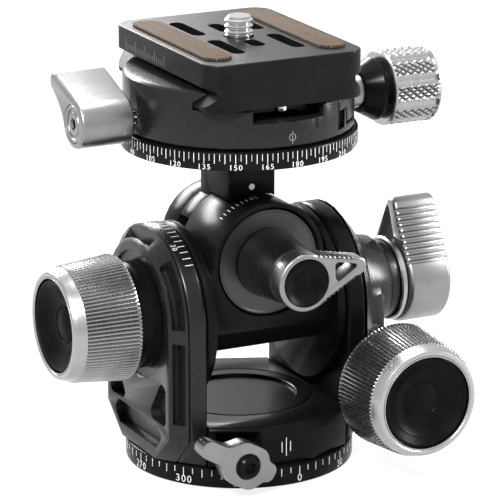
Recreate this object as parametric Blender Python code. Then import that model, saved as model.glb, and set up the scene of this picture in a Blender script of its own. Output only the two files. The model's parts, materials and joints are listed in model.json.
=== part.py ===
# Geared tripod head: a pan base, a yoke with two arms, a cradle and a neck
# that worm drives tilt, a top dial, and a quick release clamp with its plate.
# Metres, +Z up, origin at the middle of the base's underside. The first tilt
# turns about X and the second about Y. The index marks face -Y.

import math

import bmesh
import bpy

MM = 0.001
GAP = 0.3 * MM            # clearance between neighbouring pieces
OVERRUN = 5.0 * MM        # how far a cutter passes the face that it opens
LAP = 1.0 * MM            # how far fused forms reach into each other
EDGE = 0.5 * MM           # broken edges of the turned and milled pieces
ROUND_STEPS = 32          # facets of the large round pieces
INNER_STEPS = 18          # facets of hidden rooms, bearings and spindles
SMALL_STEPS = 12          # facets of pins, screws and bores
PIN_STEPS = 8            # facets of the smallest pins
DISH_STEPS = 18
COLLAR_STEPS = 24
HEX_STEPS = 6
HEAD_STEPS = 16           # facets of the arms' round heads
TIP_STEPS = 5
SLOT_TIP_STEPS = 3
SLOT_STEPS = 5
POCKET_STEPS = 2
CORNER_STEPS = 4
SECTOR_STEPS = 8
FLATNESS = math.radians(0.1)
SQUARE = 90.0
HALF_CIRCLE = 180.0
FULL_DEGREES = 360.0
FULL_TURN = 2.0 * math.pi
MIDDLE = (0, 0)
SIDES = ((-1, "left"), (1, "right"))
ENDS = ((-1, "front"), (1, "rear"))

# Pan base
BASE_RADIUS = 25.8 * MM
BASE_THICK = 4.6 * MM
FOOT_RECESS = 0.3 * MM
SPINDLE_RADIUS = 9.9 * MM
PLATFORM_TOP = 14.0 * MM
COVER_THICK = 2.4 * MM
SPINDLE_HEADROOM = 1.2 * MM
SPINDLE_HEIGHT = PLATFORM_TOP - COVER_THICK - SPINDLE_HEADROOM
FLANGE_RADIUS = 12.0 * MM
FLANGE_THICK = 1.3 * MM
SOCKET_RADIUS = 4.76 * MM
SOCKET_WALL = 1.9 * MM
SOCKET_DEPTH = 7.7 * MM

# Housing between the arms
HOUSING_HALF_WIDTH = 17.1 * MM
CRADLE_RADIUS = 19.8 * MM
HEAD_RIM = 0.2 * MM
HEAD_RADIUS = CRADLE_RADIUS + HEAD_RIM
HOUSING_TUCK = 0.7 * MM
HOUSING_FOOT = HEAD_RADIUS - HOUSING_TUCK
PLATFORM_RIM = 2.7 * MM
SHOULDER_HEIGHT = PLATFORM_TOP - PLATFORM_RIM
FRONT_INSET = 1.3 * MM
FRONT_DEPTH = BASE_RADIUS - FRONT_INSET
FACET_HALF = 6.4 * MM
COVER_RIM = 0.9 * MM
COVER_RADIUS = HOUSING_HALF_WIDTH - COVER_RIM
COVER_DISH_RIM = 3.3 * MM
COVER_DISH_RADIUS = COVER_RADIUS - COVER_DISH_RIM
COVER_DISH_DEPTH = 0.7 * MM

# Base lever
BASE_LOCK_X = -11.9 * MM
BASE_LOCK_HEIGHT = 7.2 * MM
RECESS_LEFT = -15.7 * MM
RECESS_RIGHT = -6.7 * MM
RECESS_BACK = 17.5 * MM
RECESS_ROOF = 1.0 * MM
LOCK_STUD_RADIUS = 1.5 * MM
LOCK_STUD_END = 12.0 * MM
BRAKE_END = 7.4 * MM
BASE_LEVER_THICK = 3.4 * MM
BASE_LEVER_CLEARANCE = 0.8 * MM
BASE_LEVER_FACE = BASE_RADIUS + BASE_LEVER_CLEARANCE + BASE_LEVER_THICK
BASE_LEVER_HUB = 5.0 * MM
LONG_WING_REACH = 12.4 * MM
SHORT_WING_REACH = 7.1 * MM
WING_TIP_RADIUS = 2.0 * MM
WING_INSET = 0.6 * MM          # how far a lever's arm lies in from its hub's faces
WING_ROOT_HALF = 2.6 * MM
LONG_WING_ANGLE = 151.0
SHORT_WING_ANGLE = -21.0
BASE_SCREW_RADIUS = 2.6 * MM
BASE_SCREW_HEAD = 1.2 * MM

# Dial plates and arms, about the first tilt axis
CRADLE_CLEARANCE = 2.2 * MM
TILT_X_HEIGHT = PLATFORM_TOP + CRADLE_CLEARANCE + CRADLE_RADIUS
DIAL_PLATE_THICK = 4.4 * MM
DIAL_PLATE_TUCK = 1.0 * MM
DIAL_PLATE_FOOT_INNER = HEAD_RADIUS - DIAL_PLATE_TUCK
DIAL_PLATE_TAPER = 5.2 * MM
DIAL_PLATE_FOOT_OUTER = DIAL_PLATE_FOOT_INNER - DIAL_PLATE_TAPER
ARM_SEAT = HOUSING_HALF_WIDTH + GAP + DIAL_PLATE_THICK + GAP
ARM_TUCK = 6.7 * MM
ARM_FOOT = HEAD_RADIUS - ARM_TUCK
ARM_THICK = 3.1 * MM
ARM_SLOPE = 3.6 * MM
ARM_FACE_RADIUS = HEAD_RADIUS - ARM_SLOPE
ARM_FACE_FOOT = 8.7 * MM
SEAT_RIM = 1.9 * MM
SEAT_RADIUS = ARM_FACE_RADIUS - SEAT_RIM
SEAT_DEPTH = 0.8 * MM
RIM_SLOT_WALL = 1.0 * MM
RIM_SLOT_RADIUS = ARM_FACE_RADIUS - RIM_SLOT_WALL
RIM_SLOT_OUTSET = 0.6 * MM
RIM_SLOT_INSET = 0.4 * MM
TOP_SLOT_ANGLES = ((62.0, 106.0), (3.0, 52.0), (128.0, 177.0))
LOW_SLOT_DROP = 2.2 * MM
LOW_SLOT_TOP = TILT_X_HEIGHT - LOW_SLOT_DROP
LOW_SLOT_RISE = 3.9 * MM
LOW_SLOT_BOTTOM = SHOULDER_HEIGHT + LOW_SLOT_RISE
FACE_POCKET_DEPTH = 2.2 * MM
FACE_POCKET_CORNER = 1.2 * MM
WEB_POCKET_SHARES = ((0.39, 0.31), (0.75, 0.93), (0.90, 0.86), (0.90, 0.27), (0.85, 0.18), (0.48, 0.20))
FOOT_POCKET_SHARES = ((-0.60, -0.29), (-0.77, -0.06), (-0.63, 0.13), (0.63, 0.13), (0.77, -0.06), (0.60, -0.29))
POCKET_FIELD_BASE = 11.4 * MM
POCKET_FIELD_DROP = 11.6 * MM
POCKET_FIELD_HEIGHT = TILT_X_HEIGHT - POCKET_FIELD_DROP - POCKET_FIELD_BASE
JOURNAL_RADIUS = 8.0 * MM
BUSH_WALL = 1.7 * MM
BUSH_LENGTH = DIAL_PLATE_THICK - GAP

# Right arm and first worm drive
BOSS_RADIUS = 13.2 * MM
BOSS_LENGTH = 14.4 * MM
BOSS_REACH = ARM_SEAT + BOSS_LENGTH
BOSS_SHARES = ((1.0, 0.0), (1.0, 0.20), (0.95, 0.30), (0.83, 0.54), (0.80, 0.73), (0.68, 0.87), (0.68, 1.0))
WHEEL_TEETH = 26
WHEEL_MODULE = 0.8 * MM
RIGHT_WORM_PITCH_RADIUS = 5.2 * MM
SHAFT_RADIUS = 3.0 * MM
SHAFT_OUTSET = 0.2 * MM
RIGHT_KNOB_X = HOUSING_HALF_WIDTH + GAP + DIAL_PLATE_THICK + SHAFT_OUTSET + SHAFT_RADIUS
RIGHT_KNOB_HEIGHT = TILT_X_HEIGHT - RIGHT_WORM_PITCH_RADIUS - WHEEL_TEETH * WHEEL_MODULE / 2
WORM_TUBE_RADIUS = 9.6 * MM
WORM_TUBE_FRONT = 24.0 * MM
WORM_TUBE_REAR = 17.0 * MM
RIGHT_COLLAR_LENGTH = 3.0 * MM
RIGHT_KNOB_BACK = WORM_TUBE_FRONT + RIGHT_COLLAR_LENGTH
WEB_HALF = 11.5 * MM
WEB_OUTSET = 6.0 * MM
WEB_OUTER = RIGHT_KNOB_X + WEB_OUTSET
WHEEL_WIDTH = 4.0 * MM
WHEEL_CAVITY_WIDTH = 5.0 * MM
WORM_CAVITY_HALF = 9.0 * MM

# Teeth and threads
TIP_SHARE = 0.30
ROOT_SHARE = 0.46
ADDENDUM_SHARE = 0.95
DEDENDUM_SHARE = 1.25
WORM_TIP_SHARE = 0.80
WORM_ROOT_SHARE = 1.60
WORM_CREST = 4
WORM_STEPS = 10
WORM_TURNS = 3

# Fine adjusting knobs
KNOB_LENGTH = 15.6 * MM
KNOB_BACK_RADIUS = 14.2 * MM
KNOB_FRONT_RADIUS = 12.7 * MM
KNOB_RIM_RADIUS = 11.8 * MM
KNOB_BEVEL = 1.5 * MM
KNOB_RIBS = 26
KNOB_RIB_DEPTH = 0.35 * MM
KNOB_DISH_RADIUS = 10.2 * MM
KNOB_DISH_THICK = 4.0 * MM
KNOB_DISH_SHARES = ((1.0, 0.88), (0.90, 0.88), (0.79, 0.66), (0.60, 0.42), (0.40, 0.36), (0.38, 0.55), (0.24, 0.70))
COLLAR_RADIUS = 12.0 * MM
LEFT_COLLAR_LENGTH = 4.7 * MM
LEFT_KNOB_BACK = ARM_SEAT + ARM_THICK + LEFT_COLLAR_LENGTH

# First tilt lock
THUMB_RADIUS = 10.4 * MM
THUMB_LENGTH = 10.7 * MM
THUMB_RING_RADIUS = 9.7 * MM
THUMB_RING_LENGTH = 1.5 * MM
THUMB_FLAG_TOP = 19.0 * MM
THUMB_FLAG_ROOT = 3.5 * MM
THUMB_ROOT_HALF = 6.7 * MM
THUMB_TIP_HALF = 2.3 * MM
THUMB_FLAG_INSET = 0.9 * MM
THUMB_RIBS = 11
THUMB_RIB_DEPTH = 0.45 * MM
THUMB_EYE_SHARES = ((-0.27, 0.62), (0.27, 0.62), (0.18, 0.84), (-0.18, 0.84))

# Cradle
SEGMENT_TEETH = 20
SEGMENT_MODULE = 0.8 * MM
LEFT_WORM_PITCH_RADIUS = 4.6 * MM
TILT_Y_HEIGHT = TILT_X_HEIGHT + LEFT_WORM_PITCH_RADIUS + SEGMENT_TEETH * SEGMENT_MODULE / 2
CRADLE_INSET = 0.1 * MM
CRADLE_HALF_WIDTH = HOUSING_HALF_WIDTH - CRADLE_INSET
CRADLE_FLANGE = 2.2 * MM
FLANGE_INNER = CRADLE_HALF_WIDTH - CRADLE_FLANGE
CRADLE_FRONT = 15.2 * MM
CRADLE_BACK = 14.5 * MM
CRADLE_DROP = 8.0 * MM
CRADLE_BOTTOM = TILT_X_HEIGHT - CRADLE_DROP
SHOULDER_DROP = 2.6 * MM
CRADLE_SHOULDER = TILT_Y_HEIGHT - SHOULDER_DROP
CRADLE_CHAMFER = 5.5 * MM
BARREL_INSET = 1.3 * MM
BARREL_RADIUS = FLANGE_INNER - BARREL_INSET
CHEEK_INSET = 1.2 * MM
CHEEK_RADIUS = BARREL_RADIUS - CHEEK_INSET
BARREL_BACK = 1.9 * MM
CHEEK_FRONT = 8.3 * MM
GAP_DROP = 0.4 * MM
CAP_RIM = 1.3 * MM
CAP_RADIUS = BARREL_RADIUS - CAP_RIM
CAP_THICK = 1.8 * MM
CAP_DROP = 0.5 * MM

# Second worm drive and the neck
TILT_SHAFT_RADIUS = 4.5 * MM
TILT_SHAFT_BACK = 12.5 * MM
SEGMENT_HALF_WIDTH = 1.7 * MM
SEGMENT_SPREAD = 4
LEFT_WORM_CAVITY_HALF = 9.0 * MM
HUB_INSET = 0.9 * MM
HUB_RADIUS = BARREL_RADIUS - HUB_INSET
HUB_SPREAD = 58.0
HUB_CORE_RADIUS = 6.5 * MM
NECK_HALF_WIDTH = 5.7 * MM
NECK_FRONT = 6.5 * MM

# Second tilt lock
SECOND_BOSS_BACK_RADIUS = 7.9 * MM
SECOND_BOSS_FRONT_RADIUS = 6.3 * MM
SECOND_BOSS_LENGTH = 13.0 * MM
SECOND_STUD_RADIUS = 2.6 * MM
SECOND_STUD_END = 5.0 * MM
SECOND_LEVER_RADIUS = 6.5 * MM
SECOND_LEVER_THICK = 4.8 * MM
SECOND_WING_REACH = 14.9 * MM
SECOND_WING_ANGLE = 9.7
SECOND_WING_TIP = 1.9 * MM
SECOND_WING_ROOT = 5.6 * MM
SECOND_DISH_RADIUS = 5.35 * MM
SECOND_DISH_THICK = 2.2 * MM
SECOND_EYE_SHARES = ((0.54, 0.15), (0.90, 0.11), (0.60, -0.15))
SECOND_TEETH = 8
SECOND_TOOTH_DEPTH = 0.5 * MM

# Top dial and clamp
DIAL_CLEARANCE = 10.5 * MM
DIAL_BOTTOM = TILT_Y_HEIGHT + BARREL_RADIUS + DIAL_CLEARANCE
DIAL_THICK = 4.1 * MM
CLAMP_RADIUS = 25.7 * MM
DIAL_RIM = 0.8 * MM
DIAL_RADIUS = CLAMP_RADIUS + DIAL_RIM
TOP_SPINDLE_RADIUS = 4.0 * MM
TOP_SPINDLE_CLEARANCE = 1.9 * MM
TOP_SPINDLE_BOTTOM = TILT_Y_HEIGHT + BARREL_RADIUS + TOP_SPINDLE_CLEARANCE
TOP_SPINDLE_HEAD = 8.0 * MM
TOP_SPINDLE_HEAD_THICK = 1.4 * MM
CLAMP_BOTTOM = DIAL_BOTTOM + DIAL_THICK + GAP
CLAMP_FLOOR = 0.9 * MM
CLAMP_AXIS_RISE = 4.0 * MM
CLAMP_AXIS = CLAMP_BOTTOM + CLAMP_AXIS_RISE
GROOVE_RISE = 8.5 * MM
GROOVE_FLOOR = CLAMP_BOTTOM + GROOVE_RISE
PLATE_CLEARANCE = 0.4 * MM
PLATE_BOTTOM = GROOVE_FLOOR + PLATE_CLEARANCE
FLARE_HEIGHT = 1.1 * MM
PLATE_FLARE_TOP = PLATE_BOTTOM + FLARE_HEIGHT
TAPER_HEIGHT = 2.9 * MM
PLATE_WAIST_BOTTOM = PLATE_FLARE_TOP + TAPER_HEIGHT
PLATE_FLARE_HALF = 18.9 * MM
PLATE_WAIST_HALF = 16.2 * MM
GRIP_PLAY = 0.2 * MM
GRIP_KNEE = PLATE_FLARE_TOP + GRIP_PLAY
GRIP_OUTER = PLATE_FLARE_HALF + PLATE_CLEARANCE
WAIST_CLEARANCE = 0.5 * MM
GRIP_INNER = PLATE_WAIST_HALF + WAIST_CLEARANCE
JAW_TOP = PLATE_WAIST_BOTTOM - GRIP_PLAY
JAW_BED_RISE = 2.0 * MM
JAW_BED = CLAMP_BOTTOM + JAW_BED_RISE
JAW_LIP = 3.0 * MM
JAW_STEP = GROOVE_FLOOR - JAW_LIP
JAW_THICK = 9.2 * MM
JAW_SEAM = CLAMP_RADIUS - JAW_THICK
JAW_LIP_REACH = 3.2 * MM
JAW_UPPER_SEAM = JAW_SEAM - JAW_LIP_REACH
NOTCH_HALF = 8.5 * MM
NOTCH_DROP = 2.7 * MM
NOTCH_FLOOR = GROOVE_FLOOR - NOTCH_DROP
PLATE_HALF_DEPTH = 22.3 * MM
STOP_INSET = 1.9 * MM
STOP_DEPTH = PLATE_HALF_DEPTH - STOP_INSET
STOP_RADIUS = 1.5 * MM
STOP_TRAVEL = 3.4 * MM
NOTCH_START = STOP_DEPTH - STOP_RADIUS - STOP_TRAVEL
JAW_PIN_RADIUS = 1.1 * MM
JAW_PIN_SPREAD = 12.0 * MM
JAW_PIN_DEPTH = 10.0 * MM
JAW_PIN_SEAT = 3.0 * MM

# Clamp knob
CLAMP_SCREW_RADIUS = 1.3 * MM
CLAMP_SCREW_DEPTH = 7.3 * MM
CLAMP_SCREW_END = JAW_SEAM - CLAMP_SCREW_DEPTH
CLAMP_SHAFT_RADIUS = 4.0 * MM
CLAMP_FLANGE_OUTSET = 3.0 * MM
CLAMP_FLANGE_BACK = DIAL_RADIUS + CLAMP_FLANGE_OUTSET
CLAMP_FLANGE_LENGTH = 4.6 * MM
CLAMP_FLANGE_RADIUS = 7.1 * MM
CLAMP_KNOB_GAP = 0.9 * MM
CLAMP_KNOB_BACK = CLAMP_FLANGE_BACK + CLAMP_FLANGE_LENGTH + CLAMP_KNOB_GAP
CLAMP_KNOB_LENGTH = 12.0 * MM
CLAMP_KNOB_RADIUS = 8.65 * MM
CLAMP_KNOB_LOBES = 12
CLAMP_FLUTE_DEPTH = 0.7 * MM
CLAMP_FLUTE_SHARES = (0.0, 0.9, 0.9)
CLAMP_KNOB_DISH = 5.6 * MM

# Clamp's pan lock
PAN_LOCK_RADIUS = 5.5 * MM
PAN_LOCK_OUTSET = 1.1 * MM
PAN_LOCK_BACK = DIAL_RADIUS + PAN_LOCK_OUTSET
PAN_LOCK_LENGTH = 12.4 * MM
PAN_FLAG_REACH = 15.0 * MM
PAN_FLAG_ANGLE = 37.0
PAN_FLAG_ROOT = 4.4 * MM
PAN_FLAG_TIP = 1.4 * MM
PAN_STUD_RADIUS = 1.6 * MM
PAN_STUD_END = 9.2 * MM
PAN_SOCKET_RADIUS = 1.7 * MM
PAN_SOCKET_DEPTH = 2.0 * MM

# Quick release plate
PLATE_HALF_WIDTH = 19.2 * MM
WAIST_HEIGHT = 1.4 * MM
PLATE_RIM_BOTTOM = PLATE_WAIST_BOTTOM + WAIST_HEIGHT
PLATE_RIM_THICK = 5.3 * MM
PLATE_TOP = PLATE_RIM_BOTTOM + PLATE_RIM_THICK
PLATE_CORNER = 5.0 * MM
SLOT_SPACING = 7.7 * MM
SLOT_HALF = 1.75 * MM
SLOT_FRONT = (-16.0 * MM, -4.6 * MM)
SLOT_REAR = (4.6 * MM, 13.0 * MM)
PAD_INNER = 11.1 * MM
PAD_OUTER = 17.7 * MM
PAD_HALF_DEPTH = 17.0 * MM
PAD_CORNER = 3.0 * MM
PAD_SEAT = 0.4 * MM
PAD_THICK = 0.6 * MM
SCREW_RADIUS = 3.175 * MM
SCREW_REACH = 4.6 * MM
SCREW_TOP = PLATE_TOP + SCREW_REACH
SCREW_HEAD_RADIUS = 5.8 * MM
SCREW_HEAD_THICK = 2.2 * MM
SCREW_HEAD_DROP = 0.5 * MM
STOP_REACH = 1.6 * MM
STOP_SEAT = 2.0 * MM

FINISHES = {
    "black": ((0.018, 0.018, 0.020), 0.38, 0.75),
    "grey": ((0.10, 0.10, 0.105), 0.45, 0.6),
    "silver": ((0.62, 0.62, 0.63), 0.30, 1.0),
    "steel": ((0.75, 0.75, 0.76), 0.18, 1.0),
    "bronze": ((0.55, 0.36, 0.16), 0.35, 1.0),
    "rubber": ((0.03, 0.03, 0.03), 0.60, 0.0),
    "pad": ((0.36, 0.28, 0.21), 0.80, 0.0),
}


def clear_scene():
    for thing in list(bpy.data.objects):
        bpy.data.objects.remove(thing, do_unlink=True)


def finish_of(name, kind):
    colour, roughness, metallic = FINISHES[kind]
    material = bpy.data.materials.new(name + "_" + kind)
    material.use_nodes = True
    shader = material.node_tree.nodes["Principled BSDF"]
    shader.inputs["Base Color"].default_value = (*colour, 1.0)
    shader.inputs["Roughness"].default_value = roughness
    shader.inputs["Metallic"].default_value = metallic
    material.diffuse_color = (*colour, 1.0)
    return material


def solid(name, points, faces, kind="black"):
    """One closed mesh object from its corner points and faces."""
    body = bmesh.new()
    corners = [body.verts.new(point) for point in points]
    for face in faces:
        body.faces.new([corners[index] for index in face])
    bmesh.ops.connect_verts_nonplanar(body, angle_limit=FLATNESS, faces=body.faces)
    bmesh.ops.recalc_face_normals(body, faces=body.faces)
    if body.calc_volume(signed=True) < 0:
        bmesh.ops.reverse_faces(body, faces=body.faces)
    mesh = bpy.data.meshes.new(name)
    body.to_mesh(mesh)
    body.free()
    mesh.materials.append(finish_of(name, kind))
    piece = bpy.data.objects.new(name, mesh)
    bpy.context.scene.collection.objects.link(piece)
    smooth(piece)
    return piece


def smooth(piece):
    piece.data.shade_smooth()
    piece.data.set_sharp_from_angle(angle=math.radians(32))


def around(axis, centre, radius, angle, along):
    """A point at an angle about an axis, counted by the right-hand rule."""
    if axis == "X":
        return (along, centre[0] + radius * math.cos(angle), centre[1] + radius * math.sin(angle))
    if axis == "Y":
        return (centre[0] + radius * math.sin(angle), along, centre[1] + radius * math.cos(angle))
    return (centre[0] + radius * math.cos(angle), centre[1] + radius * math.sin(angle), along)


def turned(name, axis, centre, profile, kind="black", steps=SMALL_STEPS, wave=None):
    """A closed revolve of (radius, along) points, whose rings may wave inwards.

    A point on the axis closes the ring beside it with a flat face.
    """
    points = []
    rings = []
    for index, (radius, along) in enumerate(profile):
        ring = []
        for step in range(steps if radius else 0):
            size = radius - wave(index, step) if wave else radius
            ring.append(len(points))
            points.append(around(axis, centre, size, FULL_TURN * step / steps, along))
        rings.append(ring)
    faces = []
    for first, second in zip(rings, rings[1:] + rings[:1]):
        if not first or not second:
            faces += [tuple(ring) for ring in (first, second) if ring]
            continue
        for step in range(steps):
            after = (step + 1) % steps
            faces.append((first[step], first[after], second[after], second[step]))
    return solid(name, points, faces, kind)


def rod(name, axis, centre, radius, low, high, kind="steel", steps=SMALL_STEPS, edge=0.0):
    """A plain pin, with an optional chamfer at both ends."""
    profile = [(0, low), (radius - edge, low)]
    if edge:
        profile += [(radius, low + edge), (radius, high - edge)]
    profile += [(radius - edge, high), (0, high)]
    return turned(name, axis, centre, profile, kind, steps)


def tube(name, axis, centre, inner, outer, low, high, kind="steel", steps=SMALL_STEPS):
    profile = [(inner, low), (outer, low), (outer, high), (inner, high)]
    return turned(name, axis, centre, profile, kind, steps)


def spot(axis, u, v, along):
    """The point (u, v) of an outline drawn square to an axis."""
    return {"X": (along, u, v), "Y": (u, along, v), "Z": (u, v, along)}[axis]


def lofted(name, axis, layers, kind="black"):
    """A closed solid through like outlines, each given as (outline, along)."""
    points = []
    count = len(layers[0][0])
    for outline, along in layers:
        points += [spot(axis, u, v, along) for u, v in outline]
    faces = []
    for layer in range(len(layers) - 1):
        start = layer * count
        for index in range(count):
            after = (index + 1) % count
            faces.append((start + index, start + after, start + count + after, start + count + index))
    faces.append(tuple(range(count)))
    faces.append(tuple(range(count * (len(layers) - 1), count * len(layers))))
    return solid(name, points, faces, kind)


def drawn(name, axis, outline, low, high, kind="black"):
    return lofted(name, axis, [(outline, low), (outline, high)], kind)


def block(name, low, high, kind="black"):
    outline = [(low[0], low[1]), (high[0], low[1]), (high[0], high[1]), (low[0], high[1])]
    return drawn(name, "Z", outline, low[2], high[2], kind)


def arc(centre, radius, start, end, steps):
    """Points on an arc, with its angles in degrees from +u towards +v."""
    points = []
    for step in range(steps + 1):
        angle = math.radians(start + (end - start) * step / steps)
        points.append((centre[0] + radius * math.cos(angle), centre[1] + radius * math.sin(angle)))
    return points


def rounded(corners, radius, steps=3):
    """A convex or bent outline with each corner rounded."""
    outline = []
    count = len(corners)
    for index, corner in enumerate(corners):
        before = corners[index - 1]
        after = corners[(index + 1) % count]
        to_before = unit(corner, before)
        to_after = unit(corner, after)
        cosine = to_before[0] * to_after[0] + to_before[1] * to_after[1]
        half = math.acos(max(-1.0, min(1.0, cosine))) / 2
        reach = radius / math.tan(half)
        middle = (to_before[0] + to_after[0], to_before[1] + to_after[1])
        size = math.hypot(*middle)
        away = radius / math.sin(half)
        centre = (corner[0] + middle[0] / size * away, corner[1] + middle[1] / size * away)
        first = (corner[0] + to_before[0] * reach, corner[1] + to_before[1] * reach)
        last = (corner[0] + to_after[0] * reach, corner[1] + to_after[1] * reach)
        start = math.atan2(first[1] - centre[1], first[0] - centre[0])
        swing = math.atan2(last[1] - centre[1], last[0] - centre[0]) - start
        swing = (swing + math.pi) % FULL_TURN - math.pi
        for step in range(steps + 1):
            angle = start + swing * step / steps
            outline.append((centre[0] + radius * math.cos(angle), centre[1] + radius * math.sin(angle)))
    return outline


def unit(start, end):
    length = math.hypot(end[0] - start[0], end[1] - start[1])
    return ((end[0] - start[0]) / length, (end[1] - start[1]) / length)


def combine(piece, tools, operation):
    """Cuts tools out of a piece, or fuses them to it, and clears them away."""
    for tool in tools:
        step = piece.modifiers.new(operation.lower(), "BOOLEAN")
        step.operation = operation
        step.object = tool
    shaped = piece.evaluated_get(bpy.context.evaluated_depsgraph_get())
    mesh = bpy.data.meshes.new_from_object(shaped)
    piece.modifiers.clear()
    piece.data = mesh
    for tool in tools:
        bpy.data.objects.remove(tool, do_unlink=True)
    smooth(piece)
    return piece


def cut(piece, *tools):
    return combine(piece, tools, "DIFFERENCE")


def fuse(piece, *tools):
    return combine(piece, tools, "UNION")


def bored(piece, axis, centre, radius, low, high, steps=SMALL_STEPS):
    return cut(piece, rod("bore", axis, centre, radius, low, high, steps=steps))


def pivot(name, place, parent=None):
    """An empty on a joint's axis, which carries the pieces of one moving body."""
    empty = bpy.data.objects.new(name, None)
    bpy.context.scene.collection.objects.link(empty)
    origin = parent["place"] if parent else (0, 0, 0)
    empty.location = [place[index] - origin[index] for index in range(3)]
    empty["place"] = place
    empty.parent = parent
    return empty


def hang(carrier, *pieces):
    """Puts each piece's origin on its carrier's axis."""
    place = carrier["place"]
    for piece in pieces:
        for corner in piece.data.vertices:
            corner.co = [corner.co[index] - place[index] for index in range(3)]
        piece.parent = carrier


def build_base():
    bore = SPINDLE_RADIUS + GAP
    rim = BASE_RADIUS - EDGE
    disc = turned("base_disc", "Z", MIDDLE, [
        (bore, 0), (rim, 0), (BASE_RADIUS, EDGE), (BASE_RADIUS, BASE_THICK - EDGE),
        (rim, BASE_THICK), (bore, BASE_THICK)], steps=ROUND_STEPS)
    socket = SOCKET_RADIUS + SOCKET_WALL
    top = FOOT_RECESS + SOCKET_DEPTH
    under_flange = SPINDLE_HEIGHT - FLANGE_THICK
    spindle = turned("pan_spindle", "Z", MIDDLE, [
        (socket + GAP, FOOT_RECESS), (SPINDLE_RADIUS, FOOT_RECESS), (SPINDLE_RADIUS, under_flange),
        (FLANGE_RADIUS, under_flange), (FLANGE_RADIUS, SPINDLE_HEIGHT), (0, SPINDLE_HEIGHT),
        (0, top + GAP), (socket + GAP, top + GAP)], "steel", INNER_STEPS)
    insert = tube("thread_insert", "Z", MIDDLE, SOCKET_RADIUS, socket, FOOT_RECESS, top)
    return [disc, spindle, insert]


def housing_outline(trim, side):
    front = FRONT_DEPTH - trim
    half = HOUSING_HALF_WIDTH
    return [(-FACET_HALF, -front), (FACET_HALF, -front), (half, -side), (half, side),
            (FACET_HALF, front), (-FACET_HALF, front), (-half, side), (-half, -side)]


def build_housing():
    bottom = BASE_THICK + GAP
    foot = housing_outline(0, HOUSING_FOOT)
    full = housing_outline(0, HEAD_RADIUS)
    crest = housing_outline(EDGE, HEAD_RADIUS - EDGE)
    body = lofted("pan_housing", "Z", [
        (foot, bottom), (full, SHOULDER_HEIGHT), (full, PLATFORM_TOP - EDGE), (crest, PLATFORM_TOP)])
    bore = SPINDLE_RADIUS + GAP
    wide = FLANGE_RADIUS + GAP
    ledge = SPINDLE_HEIGHT - FLANGE_THICK - GAP
    cover_seat = PLATFORM_TOP - COVER_THICK - GAP
    well = turned("well", "Z", MIDDLE, [
        (0, bottom - OVERRUN), (bore, bottom - OVERRUN), (bore, ledge), (wide, ledge),
        (wide, cover_seat), (COVER_RADIUS + GAP, cover_seat),
        (COVER_RADIUS + GAP, PLATFORM_TOP + OVERRUN), (0, PLATFORM_TOP + OVERRUN)], steps=ROUND_STEPS)
    recess = block("recess", (RECESS_LEFT, -FRONT_DEPTH - OVERRUN, bottom - OVERRUN),
                   (RECESS_RIGHT, -RECESS_BACK, PLATFORM_TOP - RECESS_ROOF))
    cut(body, well, recess)
    bored(body, "Y", (BASE_LOCK_X, BASE_LOCK_HEIGHT), LOCK_STUD_RADIUS + GAP,
          -RECESS_BACK - OVERRUN, -BRAKE_END + GAP)
    dish = PLATFORM_TOP - COVER_DISH_DEPTH
    cover = turned("pan_cover", "Z", MIDDLE, [
        (0, PLATFORM_TOP - COVER_THICK), (COVER_RADIUS, PLATFORM_TOP - COVER_THICK),
        (COVER_RADIUS, PLATFORM_TOP), (COVER_DISH_RADIUS, PLATFORM_TOP),
        (COVER_DISH_RADIUS, dish), (0, dish)], steps=ROUND_STEPS)
    brake = rod("pan_brake", "Y", (BASE_LOCK_X, BASE_LOCK_HEIGHT), LOCK_STUD_RADIUS,
                -LOCK_STUD_END + GAP, -BRAKE_END, "bronze")
    return [body, cover, brake]


def wing(name, centre, angle, root_offset, reach, root_half, tip_radius, low, high):
    """A tapered arm in the XZ plane, with a round tip."""
    outline = [(EDGE, -root_half), (root_offset, -root_half)]
    outline += arc((reach, 0), tip_radius, -SQUARE, SQUARE, TIP_STEPS)
    outline += [(root_offset, root_half), (EDGE, root_half)]
    return drawn(name, "Y", turned_outline(outline, angle, centre), low, high, "silver")


def turned_outline(outline, degrees, centre):
    cosine = math.cos(math.radians(degrees))
    sine = math.sin(math.radians(degrees))
    return [(centre[0] + u * cosine - v * sine, centre[1] + u * sine + v * cosine)
            for u, v in outline]


def build_base_lever():
    centre = (BASE_LOCK_X, BASE_LOCK_HEIGHT)
    front = -BASE_LEVER_FACE
    back = front + BASE_LEVER_THICK
    lever = rod("base_lock_lever", "Y", centre, BASE_LEVER_HUB, front, back, "silver", edge=EDGE)
    for angle, reach in ((LONG_WING_ANGLE, LONG_WING_REACH), (SHORT_WING_ANGLE, SHORT_WING_REACH)):
        fuse(lever, wing("wing", centre, angle, BASE_LEVER_HUB / 2, reach, WING_ROOT_HALF,
                         WING_TIP_RADIUS, front + WING_INSET, back - WING_INSET))
    fuse(lever, rod("stud", "Y", centre, LOCK_STUD_RADIUS, back - LAP, -LOCK_STUD_END, "silver"))
    seat = front + BASE_SCREW_HEAD
    bored(lever, "Y", centre, BASE_SCREW_RADIUS + GAP, front - OVERRUN, seat + GAP)
    hexagon = BASE_SCREW_RADIUS / 2
    screw = turned("base_lock_screw", "Y", centre, [
        (hexagon, front), (BASE_SCREW_RADIUS, front), (BASE_SCREW_RADIUS, seat), (0, seat),
        (0, front + BASE_SCREW_HEAD / 2), (hexagon, front + BASE_SCREW_HEAD / 2)], steps=HEX_STEPS)
    return [lever, screw]


def plate_outline(head, side, foot):
    """Round head about the first tilt axis, straight sides and a tucked-in foot."""
    bottom = BASE_THICK + GAP
    return arc((0, TILT_X_HEIGHT), head, 0, HALF_CIRCLE, HEAD_STEPS) + [
        (-side, SHOULDER_HEIGHT), (-foot, bottom), (foot, bottom), (side, SHOULDER_HEIGHT)]


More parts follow.
